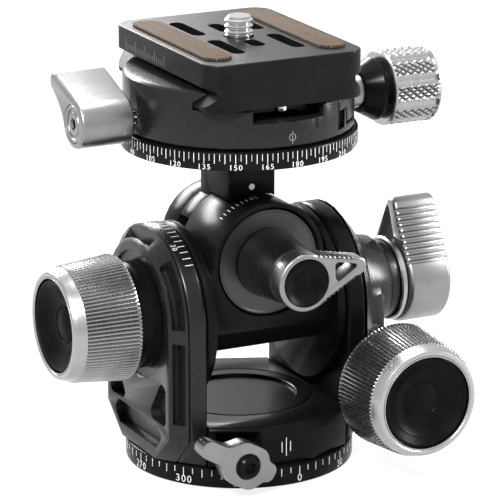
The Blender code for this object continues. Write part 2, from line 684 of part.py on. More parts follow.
def dial_plate(name, side):
    inner = HOUSING_HALF_WIDTH + GAP
    outer = inner + DIAL_PLATE_THICK
    trimmed = HEAD_RADIUS - EDGE
    tuck = DIAL_PLATE_TAPER * EDGE / DIAL_PLATE_THICK
    layers = [
        (plate_outline(trimmed, trimmed, DIAL_PLATE_FOOT_INNER), side * inner),
        (plate_outline(HEAD_RADIUS, HEAD_RADIUS, DIAL_PLATE_FOOT_INNER - tuck), side * (inner + EDGE)),
        (plate_outline(HEAD_RADIUS, HEAD_RADIUS, DIAL_PLATE_FOOT_OUTER + tuck), side * (outer - EDGE)),
        (plate_outline(trimmed, trimmed, DIAL_PLATE_FOOT_OUTER), side * outer)]
    plate = lofted(name, "X", layers)
    bush = JOURNAL_RADIUS + GAP + BUSH_WALL
    hole = rod("hole", "X", (0, TILT_X_HEIGHT), bush + GAP, side * (inner - OVERRUN),
               side * (outer + OVERRUN), steps=ROUND_STEPS)
    return cut(plate, hole)


def arm_blank(name, side):
    """The arm's plate, whose edge slopes in from the dial plate to the outer face."""
    return lofted(name, "X", [
        (plate_outline(HEAD_RADIUS, HEAD_RADIUS, ARM_FOOT), side * ARM_SEAT),
        (plate_outline(ARM_FACE_RADIUS, ARM_FACE_RADIUS, ARM_FACE_FOOT), side * (ARM_SEAT + ARM_THICK))])


def slot_sector(start, end, low, high):
    """A cutter along the arm's round edge, between two angles from +Y."""
    centre = (0, TILT_X_HEIGHT)
    outline = arc(centre, RIM_SLOT_RADIUS, start, end, SLOT_STEPS)
    outline += arc(centre, HEAD_RADIUS + OVERRUN, end, start, SLOT_STEPS)
    return drawn("slot", "X", outline, low, high)


def pocket(shares, mirrored, low, high):
    """A blind pocket in the arm's outer face, from shares of the face's half width."""
    outline = []
    for across, up in shares:
        outline.append((mirrored * across * ARM_FACE_RADIUS,
                        POCKET_FIELD_BASE + up * POCKET_FIELD_HEIGHT))
    return drawn("pocket", "X", rounded(outline, FACE_POCKET_CORNER, POCKET_STEPS), low, high)


def build_left_arm():
    arm = arm_blank("left_arm", -1)
    face = -ARM_SEAT - ARM_THICK
    low = face + RIM_SLOT_OUTSET
    high = -ARM_SEAT - RIM_SLOT_INSET
    cutters = [slot_sector(start, end, low, high) for start, end in TOP_SLOT_ANGLES]
    for side in (-1, 1):
        ends = sorted((side * RIM_SLOT_RADIUS, side * (HEAD_RADIUS + OVERRUN)))
        cutters.append(block("low_slot", (low, ends[0], LOW_SLOT_BOTTOM), (high, ends[1], LOW_SLOT_TOP)))
        cutters.append(pocket(WEB_POCKET_SHARES, side, face - OVERRUN, face + FACE_POCKET_DEPTH))
    cutters.append(pocket(FOOT_POCKET_SHARES, 1, face - OVERRUN, face + FACE_POCKET_DEPTH))
    centre = (0, TILT_X_HEIGHT)
    cutters.append(rod("seat", "X", centre, SEAT_RADIUS, face - OVERRUN, face + SEAT_DEPTH, steps=ROUND_STEPS))
    cutters.append(rod("bore", "X", centre, SHAFT_RADIUS + GAP, face - OVERRUN, OVERRUN - ARM_SEAT))
    cut(arm, *cutters)
    collar = tube("left_collar", "X", centre, SHAFT_RADIUS + GAP, COLLAR_RADIUS,
                  -LEFT_KNOB_BACK + GAP, face + SEAT_DEPTH - GAP, "black", COLLAR_STEPS)
    return [arm, collar]


def build_right_arm():
    arm = arm_blank("right_arm", 1)
    centre = (0, TILT_X_HEIGHT)
    root = ARM_SEAT + LAP
    reach = BOSS_REACH - root
    boss = turned("boss", "X", centre, [(0, root)] + [
        (BOSS_RADIUS * share, root + reach * along) for share, along in BOSS_SHARES
    ] + [(0, BOSS_REACH)], steps=ROUND_STEPS)
    axis = (RIGHT_KNOB_X, RIGHT_KNOB_HEIGHT)
    housing = rod("housing", "Y", axis, WORM_TUBE_RADIUS, -WORM_TUBE_FRONT, WORM_TUBE_REAR,
                  steps=ROUND_STEPS, edge=EDGE)
    half = WORM_TUBE_REAR + WORM_TUBE_FRONT
    cut(housing, block("side", (-half, -half, -half), (ARM_SEAT + EDGE, half, TILT_X_HEIGHT + half)))
    web = block("web", (root, -WEB_HALF, RIGHT_KNOB_HEIGHT), (WEB_OUTER, WEB_HALF, TILT_X_HEIGHT))
    fuse(arm, boss, housing, web)
    wheel_outer = wheel_radius(WHEEL_TEETH, WHEEL_MODULE) + ADDENDUM_SHARE * WHEEL_MODULE
    cavity_end = RIGHT_KNOB_X + WHEEL_CAVITY_WIDTH / 2
    cut(arm, rod("wheel_room", "X", centre, wheel_outer + GAP, ARM_SEAT - OVERRUN, cavity_end,
                 steps=INNER_STEPS))
    cut(arm, rod("stud_bore", "X", centre, SHAFT_RADIUS + GAP, cavity_end - LAP, BOSS_REACH + OVERRUN))
    cut(arm, right_worm_room())
    shaft_end = WORM_CAVITY_HALF + WORM_TUBE_REAR / 4
    cut(arm, rod("shaft_bore", "Y", axis, SHAFT_RADIUS + GAP, -WORM_TUBE_FRONT - OVERRUN, shaft_end))
    plate = cut(dial_plate("right_dial_plate", 1), right_worm_room())
    collar = tube("right_collar", "Y", axis, SHAFT_RADIUS + GAP, COLLAR_RADIUS,
                  -RIGHT_KNOB_BACK + GAP, -WORM_TUBE_FRONT - GAP, "black", COLLAR_STEPS)
    return [arm, plate, collar]


def wheel_radius(teeth, module):
    return teeth * module / 2


def right_worm_room():
    drop = TILT_X_HEIGHT - RIGHT_KNOB_HEIGHT
    radius = drop - wheel_radius(WHEEL_TEETH, WHEEL_MODULE) + WORM_TIP_SHARE * WHEEL_MODULE
    return rod("worm_room", "Y", (RIGHT_KNOB_X, RIGHT_KNOB_HEIGHT), radius + GAP,
               -WORM_CAVITY_HALF, WORM_CAVITY_HALF, steps=INNER_STEPS)


def bushing(name, side):
    inner = HOUSING_HALF_WIDTH + GAP
    ends = sorted((side * inner, side * (inner + BUSH_LENGTH)))
    bore = JOURNAL_RADIUS + GAP
    return tube(name, "X", (0, TILT_X_HEIGHT), bore, bore + BUSH_WALL, ends[0], ends[1],
                "bronze", INNER_STEPS)


def toothed_outline(centre, teeth, module, first, last, inner):
    """Gear teeth about an axis, with the gap before tooth nought straight down."""
    pitch_angle = FULL_TURN / teeth
    pitch = wheel_radius(teeth, module)
    root = pitch - DEDENDUM_SHARE * module
    outer = pitch + ADDENDUM_SHARE * module
    corners = ((-ROOT_SHARE / 2, root), (-TIP_SHARE / 2, outer), (TIP_SHARE / 2, outer),
               (ROOT_SHARE / 2, root))
    outline = []
    for tooth in range(first, last):
        for turn, radius in corners:
            angle = (tooth + 0.5 + turn) * pitch_angle
            outline.append((centre[0] + radius * math.sin(angle), centre[1] - radius * math.cos(angle)))
    if inner:
        angles = ((last + 0.0) * pitch_angle, (first + 0.0) * pitch_angle)
        for step in range(SECTOR_STEPS + 1):
            angle = angles[0] + (angles[1] - angles[0]) * step / SECTOR_STEPS
            outline.append((centre[0] + inner * math.sin(angle), centre[1] - inner * math.cos(angle)))
    return outline


def worm(name, axis, centre, wheel_distance, module, low, high, kind="steel"):
    """A shaft with a single thread, whose crest meets the wheel's gap at rest."""
    reach = wheel_distance
    core = reach - WORM_ROOT_SHARE * module
    crest = reach + WORM_TIP_SHARE * module
    lead = math.pi * module
    pitch = lead / WORM_STEPS
    rings = WORM_STEPS * WORM_TURNS
    start = -pitch * rings / 2
    meeting = WORM_STEPS // 4 if axis == "X" else 0
    points = []
    layers = [(SHAFT_RADIUS, low), (SHAFT_RADIUS, start - LAP), (core, start - LAP)]
    for index in range(rings + 1):
        layers.append((None, start + pitch * index))
    layers += [(core, -start + LAP), (SHAFT_RADIUS, -start + LAP), (SHAFT_RADIUS, high)]
    first = layers.index((None, start))
    for layer, (radius, along) in enumerate(layers):
        ring = layer - first
        for step in range(WORM_STEPS):
            size = radius
            if radius is None:
                phase = (ring - rings // 2 - step + meeting + WORM_CREST // 2) % WORM_STEPS
                size = crest if phase <= WORM_CREST - 1 + WORM_CREST % 2 else core
                if ring in (0, rings):
                    size = core
            points.append(around(axis, centre, size, FULL_TURN * step / WORM_STEPS, along))
    faces = []
    for layer in range(len(layers) - 1):
        for step in range(WORM_STEPS):
            after = (step + 1) % WORM_STEPS
            base = layer * WORM_STEPS
            faces.append((base + step, base + after, base + WORM_STEPS + after, base + WORM_STEPS + step))
    faces.append(tuple(range(WORM_STEPS)))
    faces.append(tuple(range(len(points) - WORM_STEPS, len(points))))
    return solid(name, points, faces, kind)


def along_from(back, towards, share_points):
    """Profile points given as distances in front of a knob's back."""
    return [(radius, back + towards * along) for radius, along in share_points]


def build_knob(name, axis, centre, back, towards):
    """A ribbed knob that narrows to its bright rim, with a dished cap in its face."""
    pocket_floor = KNOB_LENGTH - KNOB_DISH_THICK - GAP
    bore = SHAFT_RADIUS + GAP
    profile = along_from(back, towards, [
        (bore, 0), (KNOB_BACK_RADIUS - EDGE, 0), (KNOB_BACK_RADIUS, EDGE),
        (KNOB_FRONT_RADIUS, KNOB_LENGTH - KNOB_BEVEL), (KNOB_RIM_RADIUS, KNOB_LENGTH),
        (KNOB_DISH_RADIUS + GAP, KNOB_LENGTH), (KNOB_DISH_RADIUS + GAP, pocket_floor),
        (bore, pocket_floor)])
    knob = turned(name, axis, centre, profile, "silver", 2 * KNOB_RIBS,
                  lambda ring, step: KNOB_RIB_DEPTH * (step % 2) if ring in (2, 3) else 0)
    floor = KNOB_LENGTH - KNOB_DISH_THICK
    dish = [(0, floor), (KNOB_DISH_RADIUS, floor)]
    dish += [(KNOB_DISH_RADIUS * share, floor + KNOB_DISH_THICK * up) for share, up in KNOB_DISH_SHARES]
    dish.append((0, dish[-1][1]))
    cap = turned(name + "_dish", axis, centre, along_from(back, towards, dish), "rubber", DISH_STEPS)
    return [knob, cap]


def build_left_drive():
    centre = (0, TILT_X_HEIGHT)
    pieces = build_knob("left_knob", "X", centre, -LEFT_KNOB_BACK, -1)
    distance = TILT_Y_HEIGHT - TILT_X_HEIGHT - wheel_radius(SEGMENT_TEETH, SEGMENT_MODULE)
    end = LEFT_KNOB_BACK + KNOB_LENGTH - KNOB_DISH_THICK - GAP - GAP
    pieces.append(worm("left_worm_shaft", "X", centre, distance, SEGMENT_MODULE,
                       -end, LEFT_WORM_CAVITY_HALF - GAP))
    return pieces


def build_right_drive():
    centre = (RIGHT_KNOB_X, RIGHT_KNOB_HEIGHT)
    pieces = build_knob("right_knob", "Y", centre, -RIGHT_KNOB_BACK, -1)
    distance = TILT_X_HEIGHT - RIGHT_KNOB_HEIGHT - wheel_radius(WHEEL_TEETH, WHEEL_MODULE)
    end = RIGHT_KNOB_BACK + KNOB_LENGTH - KNOB_DISH_THICK - GAP - GAP
    pieces.append(worm("right_worm_shaft", "Y", centre, distance, WHEEL_MODULE,
                       -end, WORM_CAVITY_HALF + WORM_TUBE_REAR / 4 - GAP))
    return pieces


def build_thumb_lever():
    centre = (0, TILT_X_HEIGHT)
    ring_start = BOSS_REACH + GAP
    ring_end = ring_start + THUMB_RING_LENGTH
    ring = tube("thumb_collar", "X", centre, SHAFT_RADIUS + GAP, THUMB_RING_RADIUS,
                ring_start, ring_end, "silver", INNER_STEPS)
    start = ring_end + GAP
    end = start + THUMB_LENGTH
    lever = rod("thumb_lever", "X", centre, THUMB_RADIUS, start, end, "silver", ROUND_STEPS, EDGE)
    root = TILT_X_HEIGHT + THUMB_FLAG_ROOT
    tip = TILT_X_HEIGHT + THUMB_FLAG_TOP
    rise = (tip - root) / (THUMB_RIBS + 1)
    outline = []
    for rib in range(THUMB_RIBS + 1):
        half = THUMB_ROOT_HALF + (THUMB_TIP_HALF - THUMB_ROOT_HALF) * rib / THUMB_RIBS
        low = root + rise * rib
        outline += [(-half + THUMB_RIB_DEPTH, low), (-half, low + rise / 4), (-half, low + rise * 3 / 4)]
    outline += [(-THUMB_TIP_HALF / 2, tip), (THUMB_TIP_HALF / 2, tip), (THUMB_TIP_HALF, tip - rise)]
    outline.append((THUMB_ROOT_HALF, root))
    fuse(lever, drawn("flag", "X", outline, start + THUMB_FLAG_INSET, end - THUMB_FLAG_INSET, "silver"))
    span = THUMB_FLAG_TOP
    eye = [(share * THUMB_ROOT_HALF, TILT_X_HEIGHT + up * span) for share, up in THUMB_EYE_SHARES]
    cut(lever, drawn("eye", "X", eye, start - OVERRUN, end + OVERRUN))
    bored(lever, "X", centre, SHAFT_RADIUS + GAP, start - OVERRUN, end - EDGE - LAP)
    stud = rod("thumb_stud", "X", centre, SHAFT_RADIUS,
               RIGHT_KNOB_X + WHEEL_CAVITY_WIDTH / 2 + GAP, end - EDGE - LAP - GAP)
    return [ring, lever, stud]


def build_cradle():
    """One milled body: two round flanges, the front barrel and the rear cheek."""
    centre = (0, TILT_X_HEIGHT)
    half = CRADLE_HALF_WIDTH
    left_end = HOUSING_HALF_WIDTH + GAP + BUSH_LENGTH
    wheel_start = RIGHT_KNOB_X - WHEEL_WIDTH / 2 - GAP
    rim = CRADLE_RADIUS - EDGE
    body = turned("cradle_body", "X", centre, [
        (0, -left_end), (JOURNAL_RADIUS, -left_end), (JOURNAL_RADIUS, -half), (rim, -half),
        (CRADLE_RADIUS, -half + EDGE), (CRADLE_RADIUS, -FLANGE_INNER), (JOURNAL_RADIUS, -FLANGE_INNER),
        (JOURNAL_RADIUS, FLANGE_INNER), (CRADLE_RADIUS, FLANGE_INNER), (CRADLE_RADIUS, half - EDGE),
        (rim, half), (JOURNAL_RADIUS, half), (JOURNAL_RADIUS, wheel_start), (0, wheel_start)],
        steps=ROUND_STEPS)
    wide = FLANGE_INNER + LAP
    axis = (0, TILT_Y_HEIGHT)
    chin = CRADLE_BOTTOM + CRADLE_CHAMFER
    fuse(body, lofted("barrel", "Y", [
        (cradle_outline(wide, chin, BARREL_RADIUS), -CRADLE_FRONT),
        (cradle_outline(wide, CRADLE_BOTTOM, BARREL_RADIUS), -CRADLE_FRONT + CRADLE_CHAMFER),
        (cradle_outline(wide, CRADLE_BOTTOM, BARREL_RADIUS), BARREL_BACK + GAP),
        (cradle_outline(wide, CRADLE_BOTTOM, CHEEK_RADIUS), CHEEK_FRONT - GAP),
        (cradle_outline(wide, chin, CHEEK_RADIUS), CRADLE_BACK)]))
    for cutter in cradle_rooms(axis, centre):
        cut(body, cutter)
    seat = -CRADLE_FRONT + CAP_DROP + CAP_THICK + GAP
    cut(body, rod("cap_seat", "Y", axis, CAP_RADIUS + GAP, -CRADLE_FRONT - OVERRUN, seat,
                  steps=ROUND_STEPS))
    front = -CRADLE_FRONT + CAP_DROP
    cap = tube("front_cap", "Y", axis, SECOND_STUD_RADIUS + GAP, CAP_RADIUS, front,
               front + CAP_THICK, "grey", ROUND_STEPS)
    return [body, cap]


def cradle_outline(half_width, bottom, radius):
    """A block with a round top about the second tilt axis."""
    return [(half_width, bottom), (half_width, CRADLE_SHOULDER)] + arc(
        (0, TILT_Y_HEIGHT), radius, 0, HALF_CIRCLE, HEAD_STEPS) + [
        (-half_width, CRADLE_SHOULDER), (-half_width, bottom)]


def cradle_rooms(axis, centre):
    """Cutters for the neck's gap, the worm and its segment, and the shafts."""
    wide = BARREL_RADIUS + GAP
    gap_floor = TILT_Y_HEIGHT - GAP_DROP
    top = TILT_Y_HEIGHT + BARREL_RADIUS + OVERRUN
    neck_gap = block("neck_gap", (-wide, BARREL_BACK, gap_floor), (wide, CHEEK_FRONT, top))
    outer = wheel_radius(SEGMENT_TEETH, SEGMENT_MODULE) + ADDENDUM_SHARE * SEGMENT_MODULE + GAP
    bore = TILT_SHAFT_RADIUS + GAP
    core = HUB_CORE_RADIUS + GAP
    front = -CRADLE_FRONT - OVERRUN
    shafts = turned("shaft_rooms", "Y", axis, [
        (0, front), (bore, front), (bore, -SEGMENT_HALF_WIDTH - GAP), (outer, -SEGMENT_HALF_WIDTH - GAP),
        (outer, BARREL_BACK + LAP), (core, BARREL_BACK + LAP), (core, CHEEK_FRONT + EDGE),
        (bore, CHEEK_FRONT + EDGE), (bore, TILT_SHAFT_BACK + GAP), (0, TILT_SHAFT_BACK + GAP)],
        steps=INNER_STEPS)
    distance = TILT_Y_HEIGHT - TILT_X_HEIGHT - wheel_radius(SEGMENT_TEETH, SEGMENT_MODULE)
    crest = distance + WORM_TIP_SHARE * SEGMENT_MODULE
    worm_room = rod("worm_room", "X", centre, crest + GAP, -LEFT_WORM_CAVITY_HALF,
                    LEFT_WORM_CAVITY_HALF, steps=INNER_STEPS)
    left_end = HOUSING_HALF_WIDTH + GAP + BUSH_LENGTH
    worm_shaft = rod("worm_shaft_bore", "X", centre, SHAFT_RADIUS + GAP, -left_end - OVERRUN, 0)
    return [neck_gap, shafts, worm_room, worm_shaft]


def build_wheel():
    """The first drive's worm wheel, fixed to the cradle's right journal."""
    outline = toothed_outline((0, TILT_X_HEIGHT), WHEEL_TEETH, WHEEL_MODULE, 0, WHEEL_TEETH, 0)
    half = WHEEL_WIDTH / 2
    return drawn("tilt_wheel", "X", outline, RIGHT_KNOB_X - half, RIGHT_KNOB_X + half, "bronze")


def build_neck():
    axis = (0, TILT_Y_HEIGHT)
    shaft = rod("tilt_shaft", "Y", axis, TILT_SHAFT_RADIUS, -CRADLE_FRONT + CAP_DROP + CAP_THICK + GAP,
                TILT_SHAFT_BACK)
    bored(shaft, "Y", axis, SECOND_STUD_RADIUS + GAP, -CRADLE_FRONT - OVERRUN, -SECOND_STUD_END + GAP)
    low = BARREL_BACK + GAP
    high = CHEEK_FRONT - GAP
    hub = drawn("tilt_hub", "Y", arc(axis, HUB_RADIUS, SQUARE - HUB_SPREAD, SQUARE + HUB_SPREAD, HEAD_STEPS)
                + arc(axis, HUB_CORE_RADIUS, SQUARE + HUB_SPREAD, SQUARE - HUB_SPREAD + FULL_DEGREES,
                      HEAD_STEPS), low, high)
    top = DIAL_BOTTOM - GAP
    neck = block("neck", (-NECK_HALF_WIDTH, -NECK_FRONT, TILT_Y_HEIGHT + HUB_CORE_RADIUS),
                 (NECK_HALF_WIDTH, high - EDGE / 2, top))
    saddle = BARREL_RADIUS + GAP
    cut(neck, rod("saddle", "Y", axis, saddle, -NECK_FRONT - OVERRUN, low + EDGE, steps=INNER_STEPS))
    fuse(hub, neck)
    cut(hub, rod("bore", "Y", axis, TILT_SHAFT_RADIUS + GAP, low - OVERRUN, high + OVERRUN))
    cut(hub, rod("spindle_bore", "Z", MIDDLE, TOP_SPINDLE_RADIUS + GAP, TOP_SPINDLE_BOTTOM - GAP,
                 top + OVERRUN))
    teeth = toothed_outline(axis, SEGMENT_TEETH, SEGMENT_MODULE, -SEGMENT_SPREAD, SEGMENT_SPREAD,
                            TILT_SHAFT_RADIUS + GAP)
    segment = drawn("tilt_segment", "Y", teeth, -SEGMENT_HALF_WIDTH, SEGMENT_HALF_WIDTH, "bronze")
    return [shaft, hub, segment]


def build_second_lock():
    axis = (0, TILT_Y_HEIGHT)
    back = -CRADLE_FRONT + CAP_DROP - GAP
    front = back - SECOND_BOSS_LENGTH
    boss = turned("second_lock_boss", "Y", axis, [
        (0, -SECOND_STUD_END), (SECOND_STUD_RADIUS, -SECOND_STUD_END), (SECOND_STUD_RADIUS, back),
        (SECOND_BOSS_BACK_RADIUS - EDGE, back), (SECOND_BOSS_BACK_RADIUS, back - EDGE),
        (SECOND_BOSS_FRONT_RADIUS, front), (0, front)], steps=INNER_STEPS)
    lever_back = front - GAP
    face = lever_back - SECOND_LEVER_THICK
    lever = rod("second_lock_lever", "Y", axis, SECOND_LEVER_RADIUS, face, lever_back, "silver",
                ROUND_STEPS, EDGE)
    outline = [(EDGE, -SECOND_WING_ROOT)]
    outline += arc((SECOND_WING_REACH - SECOND_WING_TIP, 0), SECOND_WING_TIP, -SQUARE, SQUARE, TIP_STEPS)
    for tooth in range(SECOND_TEETH, 0, -1):
        share = tooth / SECOND_TEETH
        reach = (SECOND_WING_REACH - SECOND_WING_TIP) * share
        rise = SECOND_WING_ROOT + (SECOND_WING_TIP - SECOND_WING_ROOT) * share
        outline += [(reach, rise), (reach, rise - SECOND_TOOTH_DEPTH)]
    outline.append((EDGE, SECOND_WING_ROOT))
    wing_outline = turned_outline(outline, SECOND_WING_ANGLE, axis)
    fuse(lever, drawn("wing", "Y", wing_outline, face + WING_INSET, lever_back - WING_INSET, "silver"))
    eye = [(u * SECOND_WING_REACH, TILT_Y_HEIGHT + v * SECOND_WING_REACH) for u, v in SECOND_EYE_SHARES]
    cut(lever, drawn("eye", "Y", rounded(eye, EDGE), face - OVERRUN, lever_back + OVERRUN))
    bored(lever, "Y", axis, SECOND_DISH_RADIUS + GAP, face - OVERRUN, face + SECOND_DISH_THICK + GAP,
          ROUND_STEPS)
    floor = face + SECOND_DISH_THICK
    dish = [(0, floor), (SECOND_DISH_RADIUS, floor)]
    dish += [(SECOND_DISH_RADIUS * share, floor - SECOND_DISH_THICK * up) for share, up in KNOB_DISH_SHARES]
    dish.append((0, dish[-1][1]))
    cap = turned("second_lock_dish", "Y", axis, dish, "rubber", DISH_STEPS)
    return [boss, lever, cap]


def build_top_dial():
    bore = TOP_SPINDLE_RADIUS + GAP
    top = DIAL_BOTTOM + DIAL_THICK
    rim = DIAL_RADIUS - EDGE
    dial = turned("top_dial", "Z", MIDDLE, [
        (bore, DIAL_BOTTOM), (rim, DIAL_BOTTOM), (DIAL_RADIUS, DIAL_BOTTOM + EDGE),
        (DIAL_RADIUS, top - EDGE), (rim, top), (bore, top)], steps=ROUND_STEPS)
    head_low = CLAMP_BOTTOM + CLAMP_FLOOR + GAP
    spindle = turned("top_spindle", "Z", MIDDLE, [
        (0, TOP_SPINDLE_BOTTOM), (TOP_SPINDLE_RADIUS, TOP_SPINDLE_BOTTOM), (TOP_SPINDLE_RADIUS, head_low),
        (TOP_SPINDLE_HEAD, head_low), (TOP_SPINDLE_HEAD, head_low + TOP_SPINDLE_HEAD_THICK),
        (0, head_low + TOP_SPINDLE_HEAD_THICK)], "steel", INNER_STEPS)
    return [dial, spindle]


def build_clamp():
    wide = CLAMP_RADIUS + OVERRUN
    over = JAW_TOP + OVERRUN
    body = rod("clamp_base", "Z", MIDDLE, CLAMP_RADIUS, CLAMP_BOTTOM, JAW_TOP, "black", ROUND_STEPS, EDGE)
    groove = drawn("groove", "Y", [
        (-GRIP_INNER, over), (-GRIP_INNER, JAW_TOP), (-GRIP_OUTER, GRIP_KNEE), (-GRIP_OUTER, GROOVE_FLOOR),
        (JAW_UPPER_SEAM, GROOVE_FLOOR), (JAW_UPPER_SEAM, JAW_STEP), (JAW_SEAM, JAW_STEP),
        (JAW_SEAM, JAW_BED), (wide, JAW_BED), (wide, over)], -wide, wide)
    notches = []
    for side in (-1, 1):
        ends = sorted((side * NOTCH_START, side * wide))
        notches.append(block("notch", (-NOTCH_HALF, ends[0], NOTCH_FLOOR), (NOTCH_HALF, ends[1], over)))
    cut(body, groove)
    cut(body, *notches)
    under = CLAMP_BOTTOM - OVERRUN
    floor = CLAMP_BOTTOM + CLAMP_FLOOR
    head_room = floor + GAP + TOP_SPINDLE_HEAD_THICK + GAP
    cut(body, turned("spindle_room", "Z", MIDDLE, [
        (0, under), (TOP_SPINDLE_RADIUS + GAP, under), (TOP_SPINDLE_RADIUS + GAP, floor),
        (TOP_SPINDLE_HEAD + GAP, floor), (TOP_SPINDLE_HEAD + GAP, head_room), (0, head_room)],
        steps=INNER_STEPS))
    axis = (0, CLAMP_AXIS)
    bored(body, "X", axis, CLAMP_SCREW_RADIUS + GAP, CLAMP_SCREW_END - GAP, wide)
    bored(body, "X", axis, PAN_STUD_RADIUS + GAP, -wide, -PAN_STUD_END + GAP)
    for side in (-1, 1):
        bored(body, "X", (side * JAW_PIN_SPREAD, CLAMP_AXIS), JAW_PIN_RADIUS + GAP,
              JAW_SEAM - JAW_PIN_DEPTH - GAP, JAW_SEAM + OVERRUN)
    return [body]


def build_jaw():
    low = JAW_BED + GAP
    wide = CLAMP_RADIUS + OVERRUN
    over = JAW_TOP + OVERRUN
    seam = JAW_SEAM + GAP
    step = JAW_STEP + GAP
    jaw = rod("movable_jaw", "Z", MIDDLE, CLAMP_RADIUS, low, JAW_TOP, "black", ROUND_STEPS, EDGE)
    cut(jaw, drawn("inside", "Y", [
        (-wide, low - OVERRUN), (seam, low - OVERRUN), (seam, step), (JAW_UPPER_SEAM + GAP, step),
        (JAW_UPPER_SEAM + GAP, GROOVE_FLOOR), (GRIP_OUTER, GROOVE_FLOOR), (GRIP_OUTER, GRIP_KNEE),
        (GRIP_INNER, JAW_TOP), (GRIP_INNER, over), (-wide, over)], -wide, wide))
    bored(jaw, "X", (0, CLAMP_AXIS), CLAMP_SCREW_RADIUS + GAP, seam - OVERRUN, wide)
    pins = []
    for side, name in ENDS:
        axis = (side * JAW_PIN_SPREAD, CLAMP_AXIS)
        bored(jaw, "X", axis, JAW_PIN_RADIUS + GAP, seam - OVERRUN, seam + JAW_PIN_SEAT + GAP)
        pins.append(rod(name + "_jaw_pin", "X", axis, JAW_PIN_RADIUS, JAW_SEAM - JAW_PIN_DEPTH,
                        seam + JAW_PIN_SEAT, steps=PIN_STEPS))
    return [jaw] + pins


def build_clamp_knob():
    axis = (0, CLAMP_AXIS)
    bore = CLAMP_SHAFT_RADIUS + GAP
    flange = turned("clamp_knob_flange", "X", axis, [
        (bore, CLAMP_FLANGE_BACK), (CLAMP_SHAFT_RADIUS + EDGE + EDGE, CLAMP_FLANGE_BACK),
        (CLAMP_FLANGE_RADIUS, CLAMP_FLANGE_BACK + CLAMP_FLANGE_LENGTH - EDGE),
        (CLAMP_FLANGE_RADIUS, CLAMP_FLANGE_BACK + CLAMP_FLANGE_LENGTH),
        (bore, CLAMP_FLANGE_BACK + CLAMP_FLANGE_LENGTH)], steps=COLLAR_STEPS)
    start = CLAMP_KNOB_BACK
    end = start + CLAMP_KNOB_LENGTH
    steps = CLAMP_KNOB_LOBES * len(CLAMP_FLUTE_SHARES)
    floor = end - EDGE - EDGE
    knob = turned("clamp_knob", "X", axis, [
        (bore, start), (CLAMP_KNOB_RADIUS - EDGE, start), (CLAMP_KNOB_RADIUS, start + EDGE),
        (CLAMP_KNOB_RADIUS, end - EDGE), (CLAMP_KNOB_RADIUS - EDGE, end), (CLAMP_KNOB_DISH, end),
        (CLAMP_KNOB_DISH, floor), (0, floor), (0, end - CLAMP_SHAFT_RADIUS),
        (bore, end - CLAMP_SHAFT_RADIUS)], "silver", steps,
        lambda ring, step: CLAMP_FLUTE_DEPTH * CLAMP_FLUTE_SHARES[step % len(CLAMP_FLUTE_SHARES)]
        if ring in (1, 2, 3, 4) else 0)
    neck = CLAMP_RADIUS + GAP
    shaft = turned("clamp_knob_shaft", "X", axis, [
        (0, CLAMP_SCREW_END), (CLAMP_SCREW_RADIUS, CLAMP_SCREW_END), (CLAMP_SCREW_RADIUS, neck),
        (CLAMP_SHAFT_RADIUS, neck), (CLAMP_SHAFT_RADIUS, end - CLAMP_SHAFT_RADIUS - GAP),
        (0, end - CLAMP_SHAFT_RADIUS - GAP)], "silver")
    return [flange, knob, shaft]


def build_pan_lock():
    axis = (0, CLAMP_AXIS)
    back = -PAN_LOCK_BACK
    front = back - PAN_LOCK_LENGTH
    lever = rod("clamp_lock_lever", "X", axis, PAN_LOCK_RADIUS, front, back, "silver", edge=EDGE)
    outline = [(EDGE, -PAN_FLAG_ROOT), (PAN_FLAG_ROOT, -PAN_FLAG_ROOT)]
    outline += arc((PAN_FLAG_REACH - PAN_FLAG_TIP, 0), PAN_FLAG_TIP, -SQUARE, SQUARE, TIP_STEPS)
    outline += [(PAN_FLAG_ROOT, PAN_FLAG_ROOT), (EDGE, PAN_FLAG_ROOT)]
    fuse(lever, drawn("flag", "X", turned_outline(outline, PAN_FLAG_ANGLE, axis), front + WING_INSET,
                      back - WING_INSET, "silver"))
    bored(lever, "X", axis, PAN_SOCKET_RADIUS, front - OVERRUN, front + PAN_SOCKET_DEPTH, HEX_STEPS)
    inside = front + PAN_SOCKET_DEPTH + LAP
    bored(lever, "X", axis, PAN_STUD_RADIUS + GAP, inside, back + OVERRUN)
    stud = rod("clamp_lock_stud", "X", axis, PAN_STUD_RADIUS, inside + GAP, -PAN_STUD_END, "steel")
    return [lever, stud]


def plate_layer(half_width, half_depth, corner):
    return rounded([(-half_width, -half_depth), (half_width, -half_depth),
                    (half_width, half_depth), (-half_width, half_depth)], corner, CORNER_STEPS)


